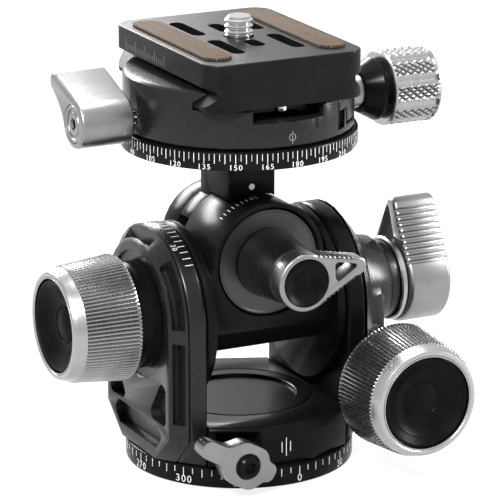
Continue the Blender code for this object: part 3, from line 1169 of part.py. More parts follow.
def build_plate():
    depth = PLATE_HALF_DEPTH
    inset = PLATE_CORNER - PLATE_HALF_WIDTH + PLATE_FLARE_HALF
    full = plate_layer(PLATE_HALF_WIDTH, depth, PLATE_CORNER)
    crest = plate_layer(PLATE_HALF_WIDTH - EDGE, depth - EDGE, PLATE_CORNER - EDGE)
    flare = plate_layer(PLATE_FLARE_HALF, depth - EDGE, inset)
    waist = plate_layer(PLATE_WAIST_HALF, depth - EDGE, inset)
    plate = lofted("quick_plate", "Z", [
        (flare, PLATE_BOTTOM), (flare, PLATE_FLARE_TOP), (waist, PLATE_WAIST_BOTTOM),
        (waist, PLATE_RIM_BOTTOM), (full, PLATE_RIM_BOTTOM), (full, PLATE_TOP - EDGE), (crest, PLATE_TOP)])
    under = PLATE_BOTTOM - OVERRUN
    over = PLATE_TOP + OVERRUN
    slots = []
    for column in (-1, 0, 1):
        for start, end in (SLOT_FRONT, SLOT_REAR):
            middle = column * SLOT_SPACING
            outline = arc((middle, end - SLOT_HALF), SLOT_HALF, 0, HALF_CIRCLE, SLOT_TIP_STEPS)
            outline += arc((middle, start + SLOT_HALF), SLOT_HALF, HALF_CIRCLE, FULL_DEGREES, SLOT_TIP_STEPS)
            slots.append(drawn("slot", "Z", outline, under, over))
    cut(plate, *slots)
    pads = []
    for side, name in SIDES:
        seat = pad_outline(side, GAP)
        cut(plate, drawn("pad_seat", "Z", seat, PLATE_TOP - PAD_SEAT, over))
        low = PLATE_TOP - PAD_SEAT + GAP
        pads.append(drawn(name + "_pad", "Z", pad_outline(side, 0), low, low + PAD_THICK, "pad"))
    head_low = PLATE_BOTTOM + SCREW_HEAD_DROP
    head_high = head_low + SCREW_HEAD_THICK
    cut(plate, turned("screw_room", "Z", MIDDLE, [
        (0, under), (SCREW_HEAD_RADIUS + GAP, under), (SCREW_HEAD_RADIUS + GAP, head_high + GAP),
        (SCREW_RADIUS + GAP, head_high + GAP), (SCREW_RADIUS + GAP, over), (0, over)], steps=INNER_STEPS))
    screw = turned("camera_screw", "Z", MIDDLE, [
        (0, head_low), (SCREW_HEAD_RADIUS, head_low), (SCREW_HEAD_RADIUS, head_high),
        (SCREW_RADIUS, head_high), (SCREW_RADIUS, SCREW_TOP - EDGE), (SCREW_RADIUS - EDGE, SCREW_TOP),
        (0, SCREW_TOP)], "steel")
    stops = []
    for side, name in ENDS:
        axis = (0, side * STOP_DEPTH)
        bored(plate, "Z", axis, STOP_RADIUS + GAP, under, PLATE_BOTTOM + STOP_SEAT + GAP, PIN_STEPS)
        stops.append(rod(name + "_stop_screw", "Z", axis, STOP_RADIUS, PLATE_BOTTOM - STOP_REACH,
                         PLATE_BOTTOM + STOP_SEAT, steps=PIN_STEPS))
    return [plate] + pads + stops, [screw]


def pad_outline(side, spread):
    low, high = sorted((side * PAD_INNER, side * PAD_OUTER))
    return rounded([(low - spread, -PAD_HALF_DEPTH - spread), (high + spread, -PAD_HALF_DEPTH - spread),
                    (high + spread, PAD_HALF_DEPTH + spread), (low - spread, PAD_HALF_DEPTH + spread)],
                   PAD_CORNER + spread, CORNER_STEPS)


def build_part():
    clear_scene()
    root = pivot("base", (0, 0, 0))
    hang(root, *build_base())
    yoke = pivot("yoke", (0, 0, 0), root)
    hang(yoke, *build_housing(), dial_plate("left_dial_plate", -1), *build_left_arm(), *build_right_arm(),
         bushing("left_bushing", -1), bushing("right_bushing", 1))
    base_lock = pivot("base_lock", (BASE_LOCK_X, -BASE_LEVER_FACE, BASE_LOCK_HEIGHT), yoke)
    hang(base_lock, *build_base_lever())
    first_lock = pivot("first_lock", (BOSS_REACH, 0, TILT_X_HEIGHT), yoke)
    hang(first_lock, *build_thumb_lever())
    first_drive = pivot("first_drive", (RIGHT_KNOB_X, -RIGHT_KNOB_BACK, RIGHT_KNOB_HEIGHT), yoke)
    hang(first_drive, *build_right_drive())
    cradle = pivot("cradle", (0, 0, TILT_X_HEIGHT), yoke)
    hang(cradle, *build_cradle(), build_wheel())
    second_drive = pivot("second_drive", (-LEFT_KNOB_BACK, 0, TILT_X_HEIGHT), cradle)
    hang(second_drive, *build_left_drive())
    head = pivot("head", (0, 0, TILT_Y_HEIGHT), cradle)
    hang(head, *build_neck(), *build_top_dial())
    second_lock = pivot("second_lock", (0, -CRADLE_FRONT, TILT_Y_HEIGHT), cradle)
    hang(second_lock, *build_second_lock())
    clamp = pivot("clamp", (0, 0, DIAL_BOTTOM), head)
    hang(clamp, *build_clamp())
    pan_lock = pivot("pan_lock", (-PAN_LOCK_BACK, 0, CLAMP_AXIS), clamp)
    hang(pan_lock, *build_pan_lock())
    jaw = pivot("jaw", (0, 0, CLAMP_AXIS), clamp)
    hang(jaw, *build_jaw())
    knob = pivot("clamp_screw", (CLAMP_RADIUS, 0, CLAMP_AXIS), jaw)
    hang(knob, *build_clamp_knob())
    plate = pivot("plate", (0, 0, PLATE_BOTTOM), clamp)
    plate_pieces, screw_pieces = build_plate()
    hang(plate, *plate_pieces)
    screw = pivot("screw", (0, 0, PLATE_BOTTOM), plate)
    hang(screw, *screw_pieces)


build_part()
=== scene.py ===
import json
import math

import bpy
from mathutils import Matrix, Vector


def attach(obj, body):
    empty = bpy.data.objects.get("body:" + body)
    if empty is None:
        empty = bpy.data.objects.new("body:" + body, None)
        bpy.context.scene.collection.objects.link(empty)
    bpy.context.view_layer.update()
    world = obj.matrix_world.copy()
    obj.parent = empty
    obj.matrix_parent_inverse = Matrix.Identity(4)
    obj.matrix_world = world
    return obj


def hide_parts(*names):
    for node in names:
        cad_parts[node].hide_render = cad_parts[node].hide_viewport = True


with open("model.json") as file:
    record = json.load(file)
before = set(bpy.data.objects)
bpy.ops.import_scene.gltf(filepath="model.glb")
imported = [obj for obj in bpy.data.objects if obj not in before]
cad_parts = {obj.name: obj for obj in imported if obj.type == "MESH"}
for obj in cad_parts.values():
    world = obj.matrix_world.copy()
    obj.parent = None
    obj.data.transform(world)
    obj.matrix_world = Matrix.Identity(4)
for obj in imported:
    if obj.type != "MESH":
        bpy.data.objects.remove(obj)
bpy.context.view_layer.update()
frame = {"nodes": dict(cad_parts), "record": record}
bodies = frame["record"]["behaviour"]["bodies"]
bodyOf = {node: body for body, nodes in bodies.items() for node in nodes}

mm = 0.001
turn = 2 * math.pi
axes = {"X": Vector((1, 0, 0)), "Y": Vector((0, 1, 0)), "Z": Vector((0, 0, 1))}
weldDistance = 0.002 * mm
samePlace = 0.001 * mm

# each axis of the head by its two places across, in mm as all sizes below
upright = (0, 0)
firstTilt = (0, 36.0)
secondTilt = (0, 48.6)
clampAxis = (0, 81.0)
rightWorm = (25.0, 20.4)


# Finishes

noiseScale = {"cloud": 260, "sheen": 800, "grain": 7000, "rings": 6000, "ringSheen": 3000,
              "cork": 900, "corkSheen": 2400}
sheenSpread = 0.02
bumpDepth = 0.01


def newFinish(name):
    finish = bpy.data.materials.new(name)
    finish.use_nodes = True
    nodes = finish.node_tree.nodes
    return finish, nodes, finish.node_tree.links, nodes["Principled BSDF"]


def objectPlace(nodes, links, stretch=(1, 1, 1)):
    place = nodes.new("ShaderNodeTexCoord")
    mapping = nodes.new("ShaderNodeMapping")
    mapping.inputs["Scale"].default_value = stretch
    links.new(place.outputs["Object"], mapping.inputs["Vector"])
    return mapping.outputs["Vector"]


def noiseBand(nodes, links, vector, scale, low, high, detail=3.0):
    noise = nodes.new("ShaderNodeTexNoise")
    noise.inputs["Scale"].default_value = scale
    noise.inputs["Detail"].default_value = detail
    links.new(vector, noise.inputs["Vector"])
    band = nodes.new("ShaderNodeMapRange")
    band.inputs["From Min"].default_value = 0.3
    band.inputs["From Max"].default_value = 0.7
    band.inputs["To Min"].default_value = low
    band.inputs["To Max"].default_value = high
    links.new(noise.outputs["Fac"], band.inputs["Value"])
    return band.outputs["Result"]


def sheenBand(nodes, links, vector, roughness):
    return noiseBand(nodes, links, vector, noiseScale["sheen"], roughness - sheenSpread, roughness + sheenSpread)


def colourBetween(nodes, links, factor, dark, light):
    mix = nodes.new("ShaderNodeMix")
    mix.data_type = "RGBA"
    mix.inputs["A"].default_value = (*dark, 1)
    mix.inputs["B"].default_value = (*light, 1)
    links.new(factor, mix.inputs["Factor"])
    return mix.outputs["Result"]


def fineBump(nodes, links, height, shader, strength, depth=bumpDepth):
    bump = nodes.new("ShaderNodeBump")
    bump.inputs["Strength"].default_value = strength
    bump.inputs["Distance"].default_value = depth * mm
    links.new(height, bump.inputs["Height"])
    links.new(bump.outputs["Normal"], shader.inputs["Normal"])


def anodised(name, dark, light, metallic, roughness, grain, specular=0.5):
    # blasted and anodised: a faint cloud in the colour, a very fine grain
    finish, nodes, links, shader = newFinish(name)
    vector = objectPlace(nodes, links)
    cloud = noiseBand(nodes, links, vector, noiseScale["cloud"], 0, 1)
    links.new(colourBetween(nodes, links, cloud, dark, light), shader.inputs["Base Color"])
    links.new(sheenBand(nodes, links, vector, roughness), shader.inputs["Roughness"])
    shader.inputs["Metallic"].default_value = metallic
    shader.inputs["Specular IOR Level"].default_value = specular
    fineBump(nodes, links, noiseBand(nodes, links, vector, noiseScale["grain"], 0, 1, 1.0), shader, grain)
    return finish


def turnedMetal(name, axis, dark, light, roughness, grooves=0.10):
    # fine rings left by the lathe tool along the axis
    finish, nodes, links, shader = newFinish(name)
    stretch = {"X": (1, 0.01, 0.01), "Y": (0.01, 1, 0.01), "Z": (0.01, 0.01, 1)}[axis]
    vector = objectPlace(nodes, links, stretch)
    rings = noiseBand(nodes, links, vector, noiseScale["rings"], 0, 1, 1.0)
    links.new(colourBetween(nodes, links, rings, dark, light), shader.inputs["Base Color"])
    sheen = noiseBand(nodes, links, vector, noiseScale["ringSheen"], roughness - sheenSpread, roughness + 0.03)
    links.new(sheen, shader.inputs["Roughness"])
    shader.inputs["Metallic"].default_value = 1.0
    fineBump(nodes, links, rings, shader, grooves)
    return finish


def distanceFrom(nodes, links, height, stretch):
    # distance from a level axis at that height; stretch has 0 along it
    place = nodes.new("ShaderNodeTexCoord")
    flat = nodes.new("ShaderNodeMapping")
    flat.inputs["Location"].default_value = (0, 0, -height * mm)
    flat.inputs["Scale"].default_value = stretch
    links.new(place.outputs["Object"], flat.inputs["Vector"])
    reach = nodes.new("ShaderNodeVectorMath")
    reach.operation = "LENGTH"
    links.new(flat.outputs["Vector"], reach.inputs[0])
    return place, reach


def knurledMetal(name, height, low, high, dark, light, roughness):
    # a knurl along X: painted shade in its grooves up to the low radius, the full colour from the high one
    finish, nodes, links, shader = newFinish(name)
    place, reach = distanceFrom(nodes, links, height, (0, 1, 1))
    band = nodes.new("ShaderNodeMapRange")
    band.inputs["From Min"].default_value = low * mm
    band.inputs["From Max"].default_value = high * mm
    links.new(reach.outputs["Value"], band.inputs["Value"])
    links.new(colourBetween(nodes, links, band.outputs["Result"], dark, light), shader.inputs["Base Color"])
    sheen = noiseBand(nodes, links, place.outputs["Object"], noiseScale["sheen"], *roughness)
    links.new(sheen, shader.inputs["Roughness"])
    shader.inputs["Metallic"].default_value = 1.0
    return finish


def facedDisc(name, height, dark, light, roughness, pitch, relief):
    # rings of a facing cut, by distance from an axis along Y
    finish, nodes, links, shader = newFinish(name)
    place, reach = distanceFrom(nodes, links, height, (1, 0, 1))
    wave = nodes.new("ShaderNodeTexNoise")
    wave.noise_dimensions = "1D"
    wave.inputs["Scale"].default_value = 1 / (pitch * mm)
    links.new(reach.outputs["Value"], wave.inputs["W"])
    links.new(colourBetween(nodes, links, wave.outputs["Fac"], dark, light), shader.inputs["Base Color"])
    links.new(sheenBand(nodes, links, place.outputs["Object"], roughness), shader.inputs["Roughness"])
    shader.inputs["Metallic"].default_value = 1.0
    fineBump(nodes, links, wave.outputs["Fac"], shader, relief)
    return finish


def checkedPad(name, cork):
    # pressed rubber cork: crossed rows of small raised squares, with painted shade in the grooves between them
    finish, nodes, links, shader = newFinish(name)
    place = nodes.new("ShaderNodeTexCoord")
    parts = nodes.new("ShaderNodeSeparateXYZ")
    links.new(place.outputs["Object"], parts.inputs["Vector"])
    waves = []
    for side in ("X", "Y"):
        scaled = nodes.new("ShaderNodeMath")
        scaled.operation = "MULTIPLY"
        scaled.inputs[1].default_value = turn / (cork["pitch"] * mm)
        links.new(parts.outputs[side], scaled.inputs[0])
        wave = nodes.new("ShaderNodeMath")
        wave.operation = "SINE"
        links.new(scaled.outputs["Value"], wave.inputs[0])
        waves.append(wave.outputs["Value"])
    lower = nodes.new("ShaderNodeMath")
    lower.operation = "MINIMUM"
    links.new(waves[0], lower.inputs[0])
    links.new(waves[1], lower.inputs[1])
    band = nodes.new("ShaderNodeMapRange")
    band.inputs["From Min"].default_value, band.inputs["From Max"].default_value = cork["slope"]
    links.new(lower.outputs["Value"], band.inputs["Value"])
    cloud = noiseBand(nodes, links, place.outputs["Object"], noiseScale["cork"], 0, 1)
    # the grooves take the darker groove colour: painted shade
    mix = nodes.new("ShaderNodeMix")
    mix.data_type = "RGBA"
    mix.inputs["A"].default_value = (*cork["groove"], 1)
    links.new(colourBetween(nodes, links, cloud, cork["dark"], cork["light"]), mix.inputs["B"])
    links.new(band.outputs["Result"], mix.inputs["Factor"])
    links.new(mix.outputs["Result"], shader.inputs["Base Color"])
    sheen = noiseBand(nodes, links, place.outputs["Object"], noiseScale["corkSheen"], *cork["roughness"])
    links.new(sheen, shader.inputs["Roughness"])
    shader.inputs["Specular IOR Level"].default_value = cork["specular"]
    fineBump(nodes, links, band.outputs["Result"], shader, cork["relief"], cork["depth"])
    return finish


def grey(level, blue=None):
    return (level, level, level if blue is None else blue)


black = anodised("blackAnodised", grey(0.0028, 0.003), grey(0.0045, 0.0048),
                 metallic=0.0, roughness=0.24, grain=0.03, specular=0.06)
glossBlack = anodised("glossBlack", grey(0.005, 0.0053), grey(0.006, 0.0063),
                      metallic=0.0, roughness=0.28, grain=0.0, specular=0.24)
plateBlack = anodised("plateAnodised", grey(0.003, 0.0032), grey(0.005, 0.0053),
                      metallic=0.0, roughness=0.36, grain=0.3, specular=0.08)
capGrey = facedDisc("capGrey", secondTilt[1], grey(0.055, 0.057), grey(0.085, 0.088),
                    roughness=0.34, pitch=0.16, relief=0.25)
silver = anodised("satinSilver", grey(0.24, 0.245), grey(0.27, 0.275), metallic=1.0, roughness=0.32, grain=0.12)
silverX = turnedMetal("turnedSilverX", "X", grey(0.33, 0.335), grey(0.37, 0.375), roughness=0.26, grooves=0.04)
silverY = turnedMetal("turnedSilverY", "Y", grey(0.38, 0.385), grey(0.42, 0.425), roughness=0.26, grooves=0.04)
steel = turnedMetal("brightSteel", "Z", grey(0.50, 0.51), grey(0.60, 0.61), roughness=0.16)
bronze = anodised("plainBronze", (0.36, 0.23, 0.09), (0.44, 0.28, 0.12), metallic=1.0, roughness=0.34, grain=0.2)
dishBlack = anodised("dishBlack", grey(0.002, 0.0022), grey(0.004, 0.0042),
                     metallic=0.0, roughness=0.34, grain=0.3, specular=0.03)
# painted shade: a darker finish for the floors between the knob's ribs
grooveShadeGrey = anodised("grooveShadeGrey", grey(0.05, 0.052), grey(0.08, 0.082), metallic=1.0, roughness=0.34, grain=0.1)
# painted shade in the knurl's grooves: darker towards the clamp axis
clampKnurlShade = knurledMetal("clampKnurlShade", clampAxis[1], low=8.1, high=8.5, dark=grey(0.02), light=grey(0.42, 0.425),
                          roughness=(0.30, 0.36))
# the groove colour below is painted shade for the recesses between the squares
padBrown = checkedPad("padBrown", {
    "pitch": 0.95, "slope": (-0.9, 0.3), "groove": (0.030, 0.022, 0.016), "dark": (0.080, 0.058, 0.042),
    "light": (0.125, 0.092, 0.068), "roughness": (0.62, 0.80), "specular": 0.03, "relief": 0.8, "depth": 0.15})
markWhite = anodised("markWhite", grey(0.42), grey(0.52), metallic=0.0, roughness=0.5, grain=0.2)
markGrey = anodised("markGrey", grey(0.10), grey(0.15), metallic=0.0, roughness=0.5, grain=0.2)
print("finishes ready")


# Modelling helpers

def onlyThis(thing):
    bpy.ops.object.select_all(action="DESELECT")
    thing.select_set(True)
    bpy.context.view_layer.objects.active = thing


def applied(thing):
    bpy.ops.object.mode_set(mode="OBJECT")
    onlyThis(thing)
    bpy.ops.object.transform_apply(location=True, rotation=True, scale=True)
    return thing


def settle(thing, finish, body, replaced=(), angle=30):
    # the last step of each piece: smooth faces, its finish, body and the nodes it replaces
    onlyThis(thing)
    bpy.ops.object.transform_apply(location=True, rotation=True, scale=True)
    bpy.ops.object.shade_smooth_by_angle(angle=math.radians(angle))
    thing.data.materials.clear()
    thing.data.materials.append(finish)
    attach(thing, body)
    for node in replaced:
        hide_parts(node)
    return thing


def tracePath(name, points):
    # one vertex is extruded from point to point; points in mm
    bpy.ops.object.select_all(action="DESELECT")
    bpy.ops.mesh.primitive_plane_add(size=mm, location=points[0] * mm)
    thing = bpy.context.object
    thing.name = name
    bpy.ops.object.mode_set(mode="EDIT")
    bpy.ops.mesh.select_all(action="SELECT")
    bpy.ops.mesh.merge(type="CENTER")
    for start, end in zip(points, points[1:]):
        bpy.ops.mesh.extrude_region_move(TRANSFORM_OT_translate={"value": (end - start) * mm})
    bpy.ops.mesh.select_all(action="SELECT")
    return thing


def across(axis, u, v, along):
    # a point from its two places across an axis and its place along it
    return {"X": Vector((along, u, v)), "Y": Vector((u, along, v)), "Z": Vector((u, v, along))}[axis]


def lathe(name, axis, centre, profile, steps=96):
    # profile: radius and place along the axis; centre: the axis's place across it
    points = [across(axis, centre[0] + radius, centre[1], along) for radius, along in profile]
    if profile[0][0] > 0:
        points.append(points[0])
    thing = tracePath(name, points)
    middle = across(axis, centre[0], centre[1], 0) * mm
    bpy.ops.mesh.spin(steps=steps, angle=turn, center=middle, axis=axes[axis])
    bpy.ops.mesh.select_all(action="SELECT")
    bpy.ops.mesh.remove_doubles(threshold=weldDistance)
    bpy.ops.mesh.normals_make_consistent(inside=False)
    return applied(thing)


def choose(thing, wanted):
    # edit mode with only the points that pass the test selected
    onlyThis(thing)
    bpy.ops.object.mode_set(mode="EDIT")
    bpy.ops.mesh.select_mode(type="VERT")
    bpy.ops.mesh.select_all(action="DESELECT")
    bpy.ops.object.mode_set(mode="OBJECT")
    for point in thing.data.vertices:
        point.select = wanted(point.co)
    bpy.ops.object.mode_set(mode="EDIT")


def slab(name, axis, outline, low, high, bevel=0.0, segments=3):
    # a closed outline filled and extruded, with both faces' rims rounded
    points = [across(axis, u, v, low) for u, v in outline]
    thing = tracePath(name, points + points[:1])
    bpy.ops.mesh.remove_doubles(threshold=weldDistance)
    bpy.ops.mesh.edge_face_add()
    bpy.ops.mesh.extrude_region_move(TRANSFORM_OT_translate={"value": axes[axis] * (high - low) * mm})
    bpy.ops.mesh.select_all(action="SELECT")
    bpy.ops.mesh.normals_make_consistent(inside=False)
    applied(thing)
    if bevel:
        place = "XYZ".index(axis)
        for level in (low, high):
            choose(thing, lambda point: abs(point[place] - level * mm) < samePlace)
            bpy.ops.mesh.bevel(offset=bevel * mm, segments=segments, affect="EDGES", clamp_overlap=True)
            bpy.ops.object.mode_set(mode="OBJECT")
    return thing


def drawIn(thing, axis, centre, share, wanted):
    # points are drawn towards the axis; the test gets a point's radius, angle in turns and place along
    def passes(point):
        u, v = [value / mm for index, value in enumerate(point) if "XYZ"[index] != axis]
        around = math.atan2(v - centre[1], u - centre[0]) / turn % 1
        return wanted(math.hypot(u - centre[0], v - centre[1]), around, point["XYZ".index(axis)] / mm)
    choose(thing, passes)
    size = [1.0 if "XYZ"[index] == axis else share for index in range(3)]
    bpy.ops.transform.resize(value=size, center_override=across(axis, centre[0], centre[1], 0) * mm)
    bpy.ops.object.mode_set(mode="OBJECT")


def paint(thing, finish):
    # in edit mode: a second finish on the selected faces
    thing.data.materials.append(finish)
    thing.active_material_index = len(thing.data.materials) - 1
    bpy.ops.object.material_slot_assign()
    bpy.ops.object.mode_set(mode="OBJECT")


def cut(thing, *tools):
    for tool in tools:
        onlyThis(thing)
        carve = thing.modifiers.new("cut", "BOOLEAN")
        carve.operation = "DIFFERENCE"
        carve.solver = "EXACT"
        carve.object = tool
        bpy.ops.object.modifier_apply(modifier=carve.name)
        bpy.data.objects.remove(tool)
    return thing


def softEdges(thing, width, sharperThan=38):
    onlyThis(thing)
    edge = thing.modifiers.new("brokenEdge", "BEVEL")
    edge.width = width * mm
    edge.segments = 2
    edge.limit_method = "ANGLE"
    edge.angle_limit = math.radians(sharperThan)
    edge.use_clamp_overlap = True
    bpy.ops.object.modifier_apply(modifier=edge.name)
    return thing


def dressed(node, finish, bevel=0.0, flatWithin=0.4):
    # the CAD solid; with a bevel its triangles become faces with broken edges
    thing = frame["nodes"][node].copy()
    thing.data = frame["nodes"][node].data.copy()
    thing.name = node + "Dressed"
    thing.parent = None
    bpy.context.scene.collection.objects.link(thing)
    onlyThis(thing)
    bpy.ops.object.mode_set(mode="EDIT")
    bpy.ops.mesh.select_all(action="SELECT")
    bpy.ops.mesh.remove_doubles(threshold=weldDistance)
    if bevel:
        bpy.ops.mesh.dissolve_limited(angle_limit=math.radians(flatWithin))
    bpy.ops.object.mode_set(mode="OBJECT")
    if bevel:
        softEdges(thing, bevel)
    return settle(thing, finish, bodyOf[node], (node,))


def block(name, low, high):
    bpy.ops.object.select_all(action="DESELECT")
    middle = [(a + b) / 2 * mm for a, b in zip(low, high)]
    bpy.ops.mesh.primitive_cube_add(size=mm, location=middle)
    thing = bpy.context.object
    thing.name = name
    thing.scale = [b - a for a, b in zip(low, high)]
    bpy.ops.object.transform_apply(location=True, rotation=True, scale=True)
    return thing


def joinAll(name, things):
    bpy.ops.object.select_all(action="DESELECT")
    for thing in things:
        thing.select_set(True)
    bpy.context.view_layer.objects.active = things[0]
    bpy.ops.object.join()
    bpy.context.object.name = name
    return bpy.context.object


# Outlines

def arc(centre, radius, start, end, steps):
    # start and end in degrees
    points = []
    for step in range(steps + 1):
        angle = math.radians(start + (end - start) * step / steps)
        points.append((centre[0] + radius * math.cos(angle), centre[1] + radius * math.sin(angle)))
    return points


def roundedBox(halfWidth, halfDepth, corner, middle, steps=8):
    points = []
    for side, (u, v) in enumerate(((1, 1), (-1, 1), (-1, -1), (1, -1))):
        place = (middle[0] + u * (halfWidth - corner), middle[1] + v * (halfDepth - corner))
        points += arc(place, corner, 90 * side, 90 * side + 90, steps)
    return points


def filleted(corners, radii, steps=7):
    # a closed outline with each corner rounded, outward or inward
    points = []
    for index, corner in enumerate(corners):
        here = Vector(corner)
        before = (Vector(corners[index - 1]) - here).normalized()
        after = (Vector(corners[(index + 1) % len(corners)]) - here).normalized()
        half = before.angle(after) / 2
        radius = radii[index]
        middle = here + (before + after).normalized() * (radius / math.sin(half))
        start = here + before * (radius / math.tan(half)) - middle
        end = here + after * (radius / math.tan(half)) - middle
        for step in range(steps + 1):
            ray = start.lerp(end, step / steps).normalized() * radius
            points.append(tuple(middle + ray))
    return points


def twoCircles(near, nearRadius, far, farRadius, steps=24):
    # the outline round two circles, and its two straight sides
    away = math.degrees(math.atan2(far[1] - near[1], far[0] - near[0]))
    reach = math.hypot(far[0] - near[0], far[1] - near[1])
    lean = math.degrees(math.acos((nearRadius - farRadius) / reach))
    hub = arc(near, nearRadius, away + lean, away + 360 - lean, 2 * steps)
    tip = arc(far, farRadius, away - lean, away + lean, steps)
    return hub + tip, ((hub[-1], tip[0]), (tip[-1], hub[0]))


def sweepBetween(first, corner, last, steps):
    # the inner points of a curve that leaves and ends in line with the corner
    points = []
    for step in range(1, steps):
        share = step / steps
        near, far = Vector(first).lerp(Vector(corner), share), Vector(corner).lerp(Vector(last), share)
        points.append(tuple(near.lerp(far, share)))
    return points


def turnedBy(points, angle, middle):
    cosine, sine = math.cos(math.radians(angle)), math.sin(math.radians(angle))
    return [(middle[0] + u * cosine - v * sine, middle[1] + u * sine + v * cosine) for u, v in points]


def hexagon(radius, lean, middle):
    return turnedBy(arc((0, 0), radius, 0, 300, 5), lean, middle)


def toothed(start, end, count, depth):
    # an edge from start to end with V grooves on its left-hand side
    groove = ((0.0, 0), (0.16, 0), (0.44, 1), (0.72, 1))  # share of a pitch, share of the depth
    along = ((end[0] - start[0]) / count, (end[1] - start[1]) / count)
    pitch = math.hypot(*along)
    inward = (along[1] / pitch * -depth, along[0] / pitch * depth)
    points = []
    for tooth in range(count):
        for share, deep in groove:
            points.append((start[0] + along[0] * (tooth + share) + inward[0] * deep,
                           start[1] + along[1] * (tooth + share) + inward[1] * deep))
    return points + [end]


def serration(axis, side, lever):
    # a cutting tool whose toothed edge lies on a straight side of a lever
    lift, room, overrun = 0.05, 3, 1
    start, end = [Vector(side[0]).lerp(Vector(side[1]), share) for share in lever["toothed"]]
    along = (end - start).normalized()
    out = Vector((along.y, -along.x))
    first, last = start + out * lift, end + out * lift
    outline = toothed(tuple(first), tuple(last), lever["teeth"], lever["toothDepth"] + lift)
    outline += [tuple(last + out * room), tuple(first + out * room)]
    low, high = lever["thick"]
    return slab("serration", axis, outline, low - overrun, high + overrun)


# Scales and marks

def tickRing(name, axis, centre, ring, body):
    # one thin bar spun round the axis; size: across, along and thick; first and span in degrees
    angle = math.radians(ring["first"])
    out = {"X": Vector((0, -math.sin(angle), math.cos(angle))), "Y": Vector((math.sin(angle), 0, math.cos(angle))),
           "Z": Vector((math.cos(angle), math.sin(angle), 0))}[axis]
    middle = across(axis, centre[0], centre[1], ring["along"])
    bpy.ops.object.select_all(action="DESELECT")
    bpy.ops.mesh.primitive_cube_add(size=mm, location=(0, 0, 0))
    bar = bpy.context.object
    bar.name = name
    bar.scale = ring["size"]
    bar.rotation_euler = Matrix([axes[axis].cross(out), axes[axis], out]).transposed().to_euler()
    bar.location = (middle + out * ring["radius"]) * mm
    bpy.ops.object.transform_apply(location=True, rotation=True, scale=True)
    if ring["count"] > 1:
        bpy.ops.object.mode_set(mode="EDIT")
        bpy.ops.mesh.select_all(action="SELECT")
        steps = ring["count"] if ring["span"] == 360 else ring["count"] - 1
        bpy.ops.mesh.spin(steps=steps, dupli=True, angle=math.radians(-ring["span"]), center=middle * mm,
                          axis=axes[axis])
        bpy.ops.mesh.select_all(action="SELECT")
        bpy.ops.mesh.remove_doubles(threshold=weldDistance)
        bpy.ops.mesh.normals_make_consistent(inside=False)
        bpy.ops.object.mode_set(mode="OBJECT")
    return settle(bar, markWhite, body)


def flatText(text, height):
    # a number as a thin mesh in the XY plane, in metres, centred
    fontShare, spacing, halfThick = 1.38, 1.22, 0.02
    bpy.ops.object.select_all(action="DESELECT")
    bpy.ops.object.text_add(location=(0, 0, 0))
    label = bpy.context.object
    label.data.body = text
    label.data.size = height * mm * fontShare
    label.data.space_character = spacing
    label.data.align_x = "CENTER"
    label.data.align_y = "CENTER"
    label.data.extrude = halfThick * mm
    label.data.resolution_u = 3
    bpy.ops.object.convert(target="MESH")
    return bpy.context.object


def wrappedNumber(text, axis, centre, ring, angle):
    # a number bent round an axis: its width becomes an angle
    label = flatText(text, ring["height"])
    for point in label.data.vertices:
        bend = math.radians(angle) + point.co.x / (ring["radius"] * mm)
        reach = ring["radius"] + point.co.z / mm
        place = across(axis, centre[0] + reach * math.cos(bend), centre[1] + reach * math.sin(bend),
                       ring["along"] + point.co.y / mm)
        point.co = place * mm
    return label


def numberRing(name, axis, centre, ring, numbers, body):
    # numbers: each text with its angle in degrees
    labels = [wrappedNumber(text, axis, centre, ring, angle) for text, angle in numbers]
    settle(joinAll(name, labels), markWhite, body)


# Base

baseDisc = {"profile": [(10.2, 0), (25.2, 0), (25.6, 0.15), (25.72, 0.5), (25.72, 4.1), (25.58, 4.42),
                        (25.25, 4.6), (10.2, 4.6)], "steps": 180, "zero": -84.8, "degreesApart": 30}
baseTicks = {"radius": 25.74, "along": 3.45, "first": baseDisc["zero"], "count": 72, "span": 360,
             "size": (0.16, 1.3, 0.05)}
baseLongTicks = {"radius": 25.74, "along": 3.2, "first": baseDisc["zero"], "count": 36, "span": 360,
                 "size": (0.165, 1.8, 0.06)}
baseNumbers = {"radius": 25.74, "along": 1.35, "height": 1.7}
disc = lathe("baseDisc", "Z", upright, baseDisc["profile"], baseDisc["steps"])
settle(disc, black, "base", ("base_disc",))
tickRing("baseTicks", "Z", upright, baseTicks, "base")
tickRing("baseLongTicks", "Z", upright, baseLongTicks, "base")
numberRing("baseNumbers", "Z", upright, baseNumbers,
           [(str(value), baseDisc["zero"] + value) for value in range(0, 360, baseDisc["degreesApart"])], "base")
for node in ("pan_spindle", "thread_insert"):
    dressed(node, steel)
print("base ready")

# Yoke

yokeEdges = {"pan_housing": 0.22, "right_dial_plate": 0.22, "left_dial_plate": 0.3, "left_arm": 0.3, "right_arm": 0.3}
for node in ("pan_housing", "right_dial_plate"):
    dressed(node, black, yokeEdges[node])
for node in ("left_dial_plate", "left_arm", "right_arm"):
    dressed(node, glossBlack, yokeEdges[node])
panCover = {"profile": [(0, 11.6), (16.0, 11.6), (16.2, 11.8), (16.2, 13.75), (15.95, 14.0), (13.1, 14.0),
                        (12.9, 13.85), (12.7, 13.3), (0, 13.3)], "steps": 128}
cover = lathe("panCover", "Z", upright, panCover["profile"], panCover["steps"])
settle(cover, black, "yoke", ("pan_cover",))
for node in ("pan_brake", "left_bushing", "right_bushing"):
    dressed(node, bronze)
leftCollar = lathe("leftCollar", "X", firstTilt, [
    (3.3, -29.6), (11.2, -29.6), (11.6, -29.2), (11.6, -27.9), (12.0, -27.5), (12.0, -24.7), (3.3, -24.7)])
settle(leftCollar, black, "yoke", ("left_collar",))
rightCollar = lathe("rightCollar", "Y", rightWorm, [
    (3.3, -26.7), (11.4, -26.7), (11.8, -26.4), (12.0, -26.0), (12.0, -24.3), (3.3, -24.3)])
settle(rightCollar, black, "yoke", ("right_collar",))
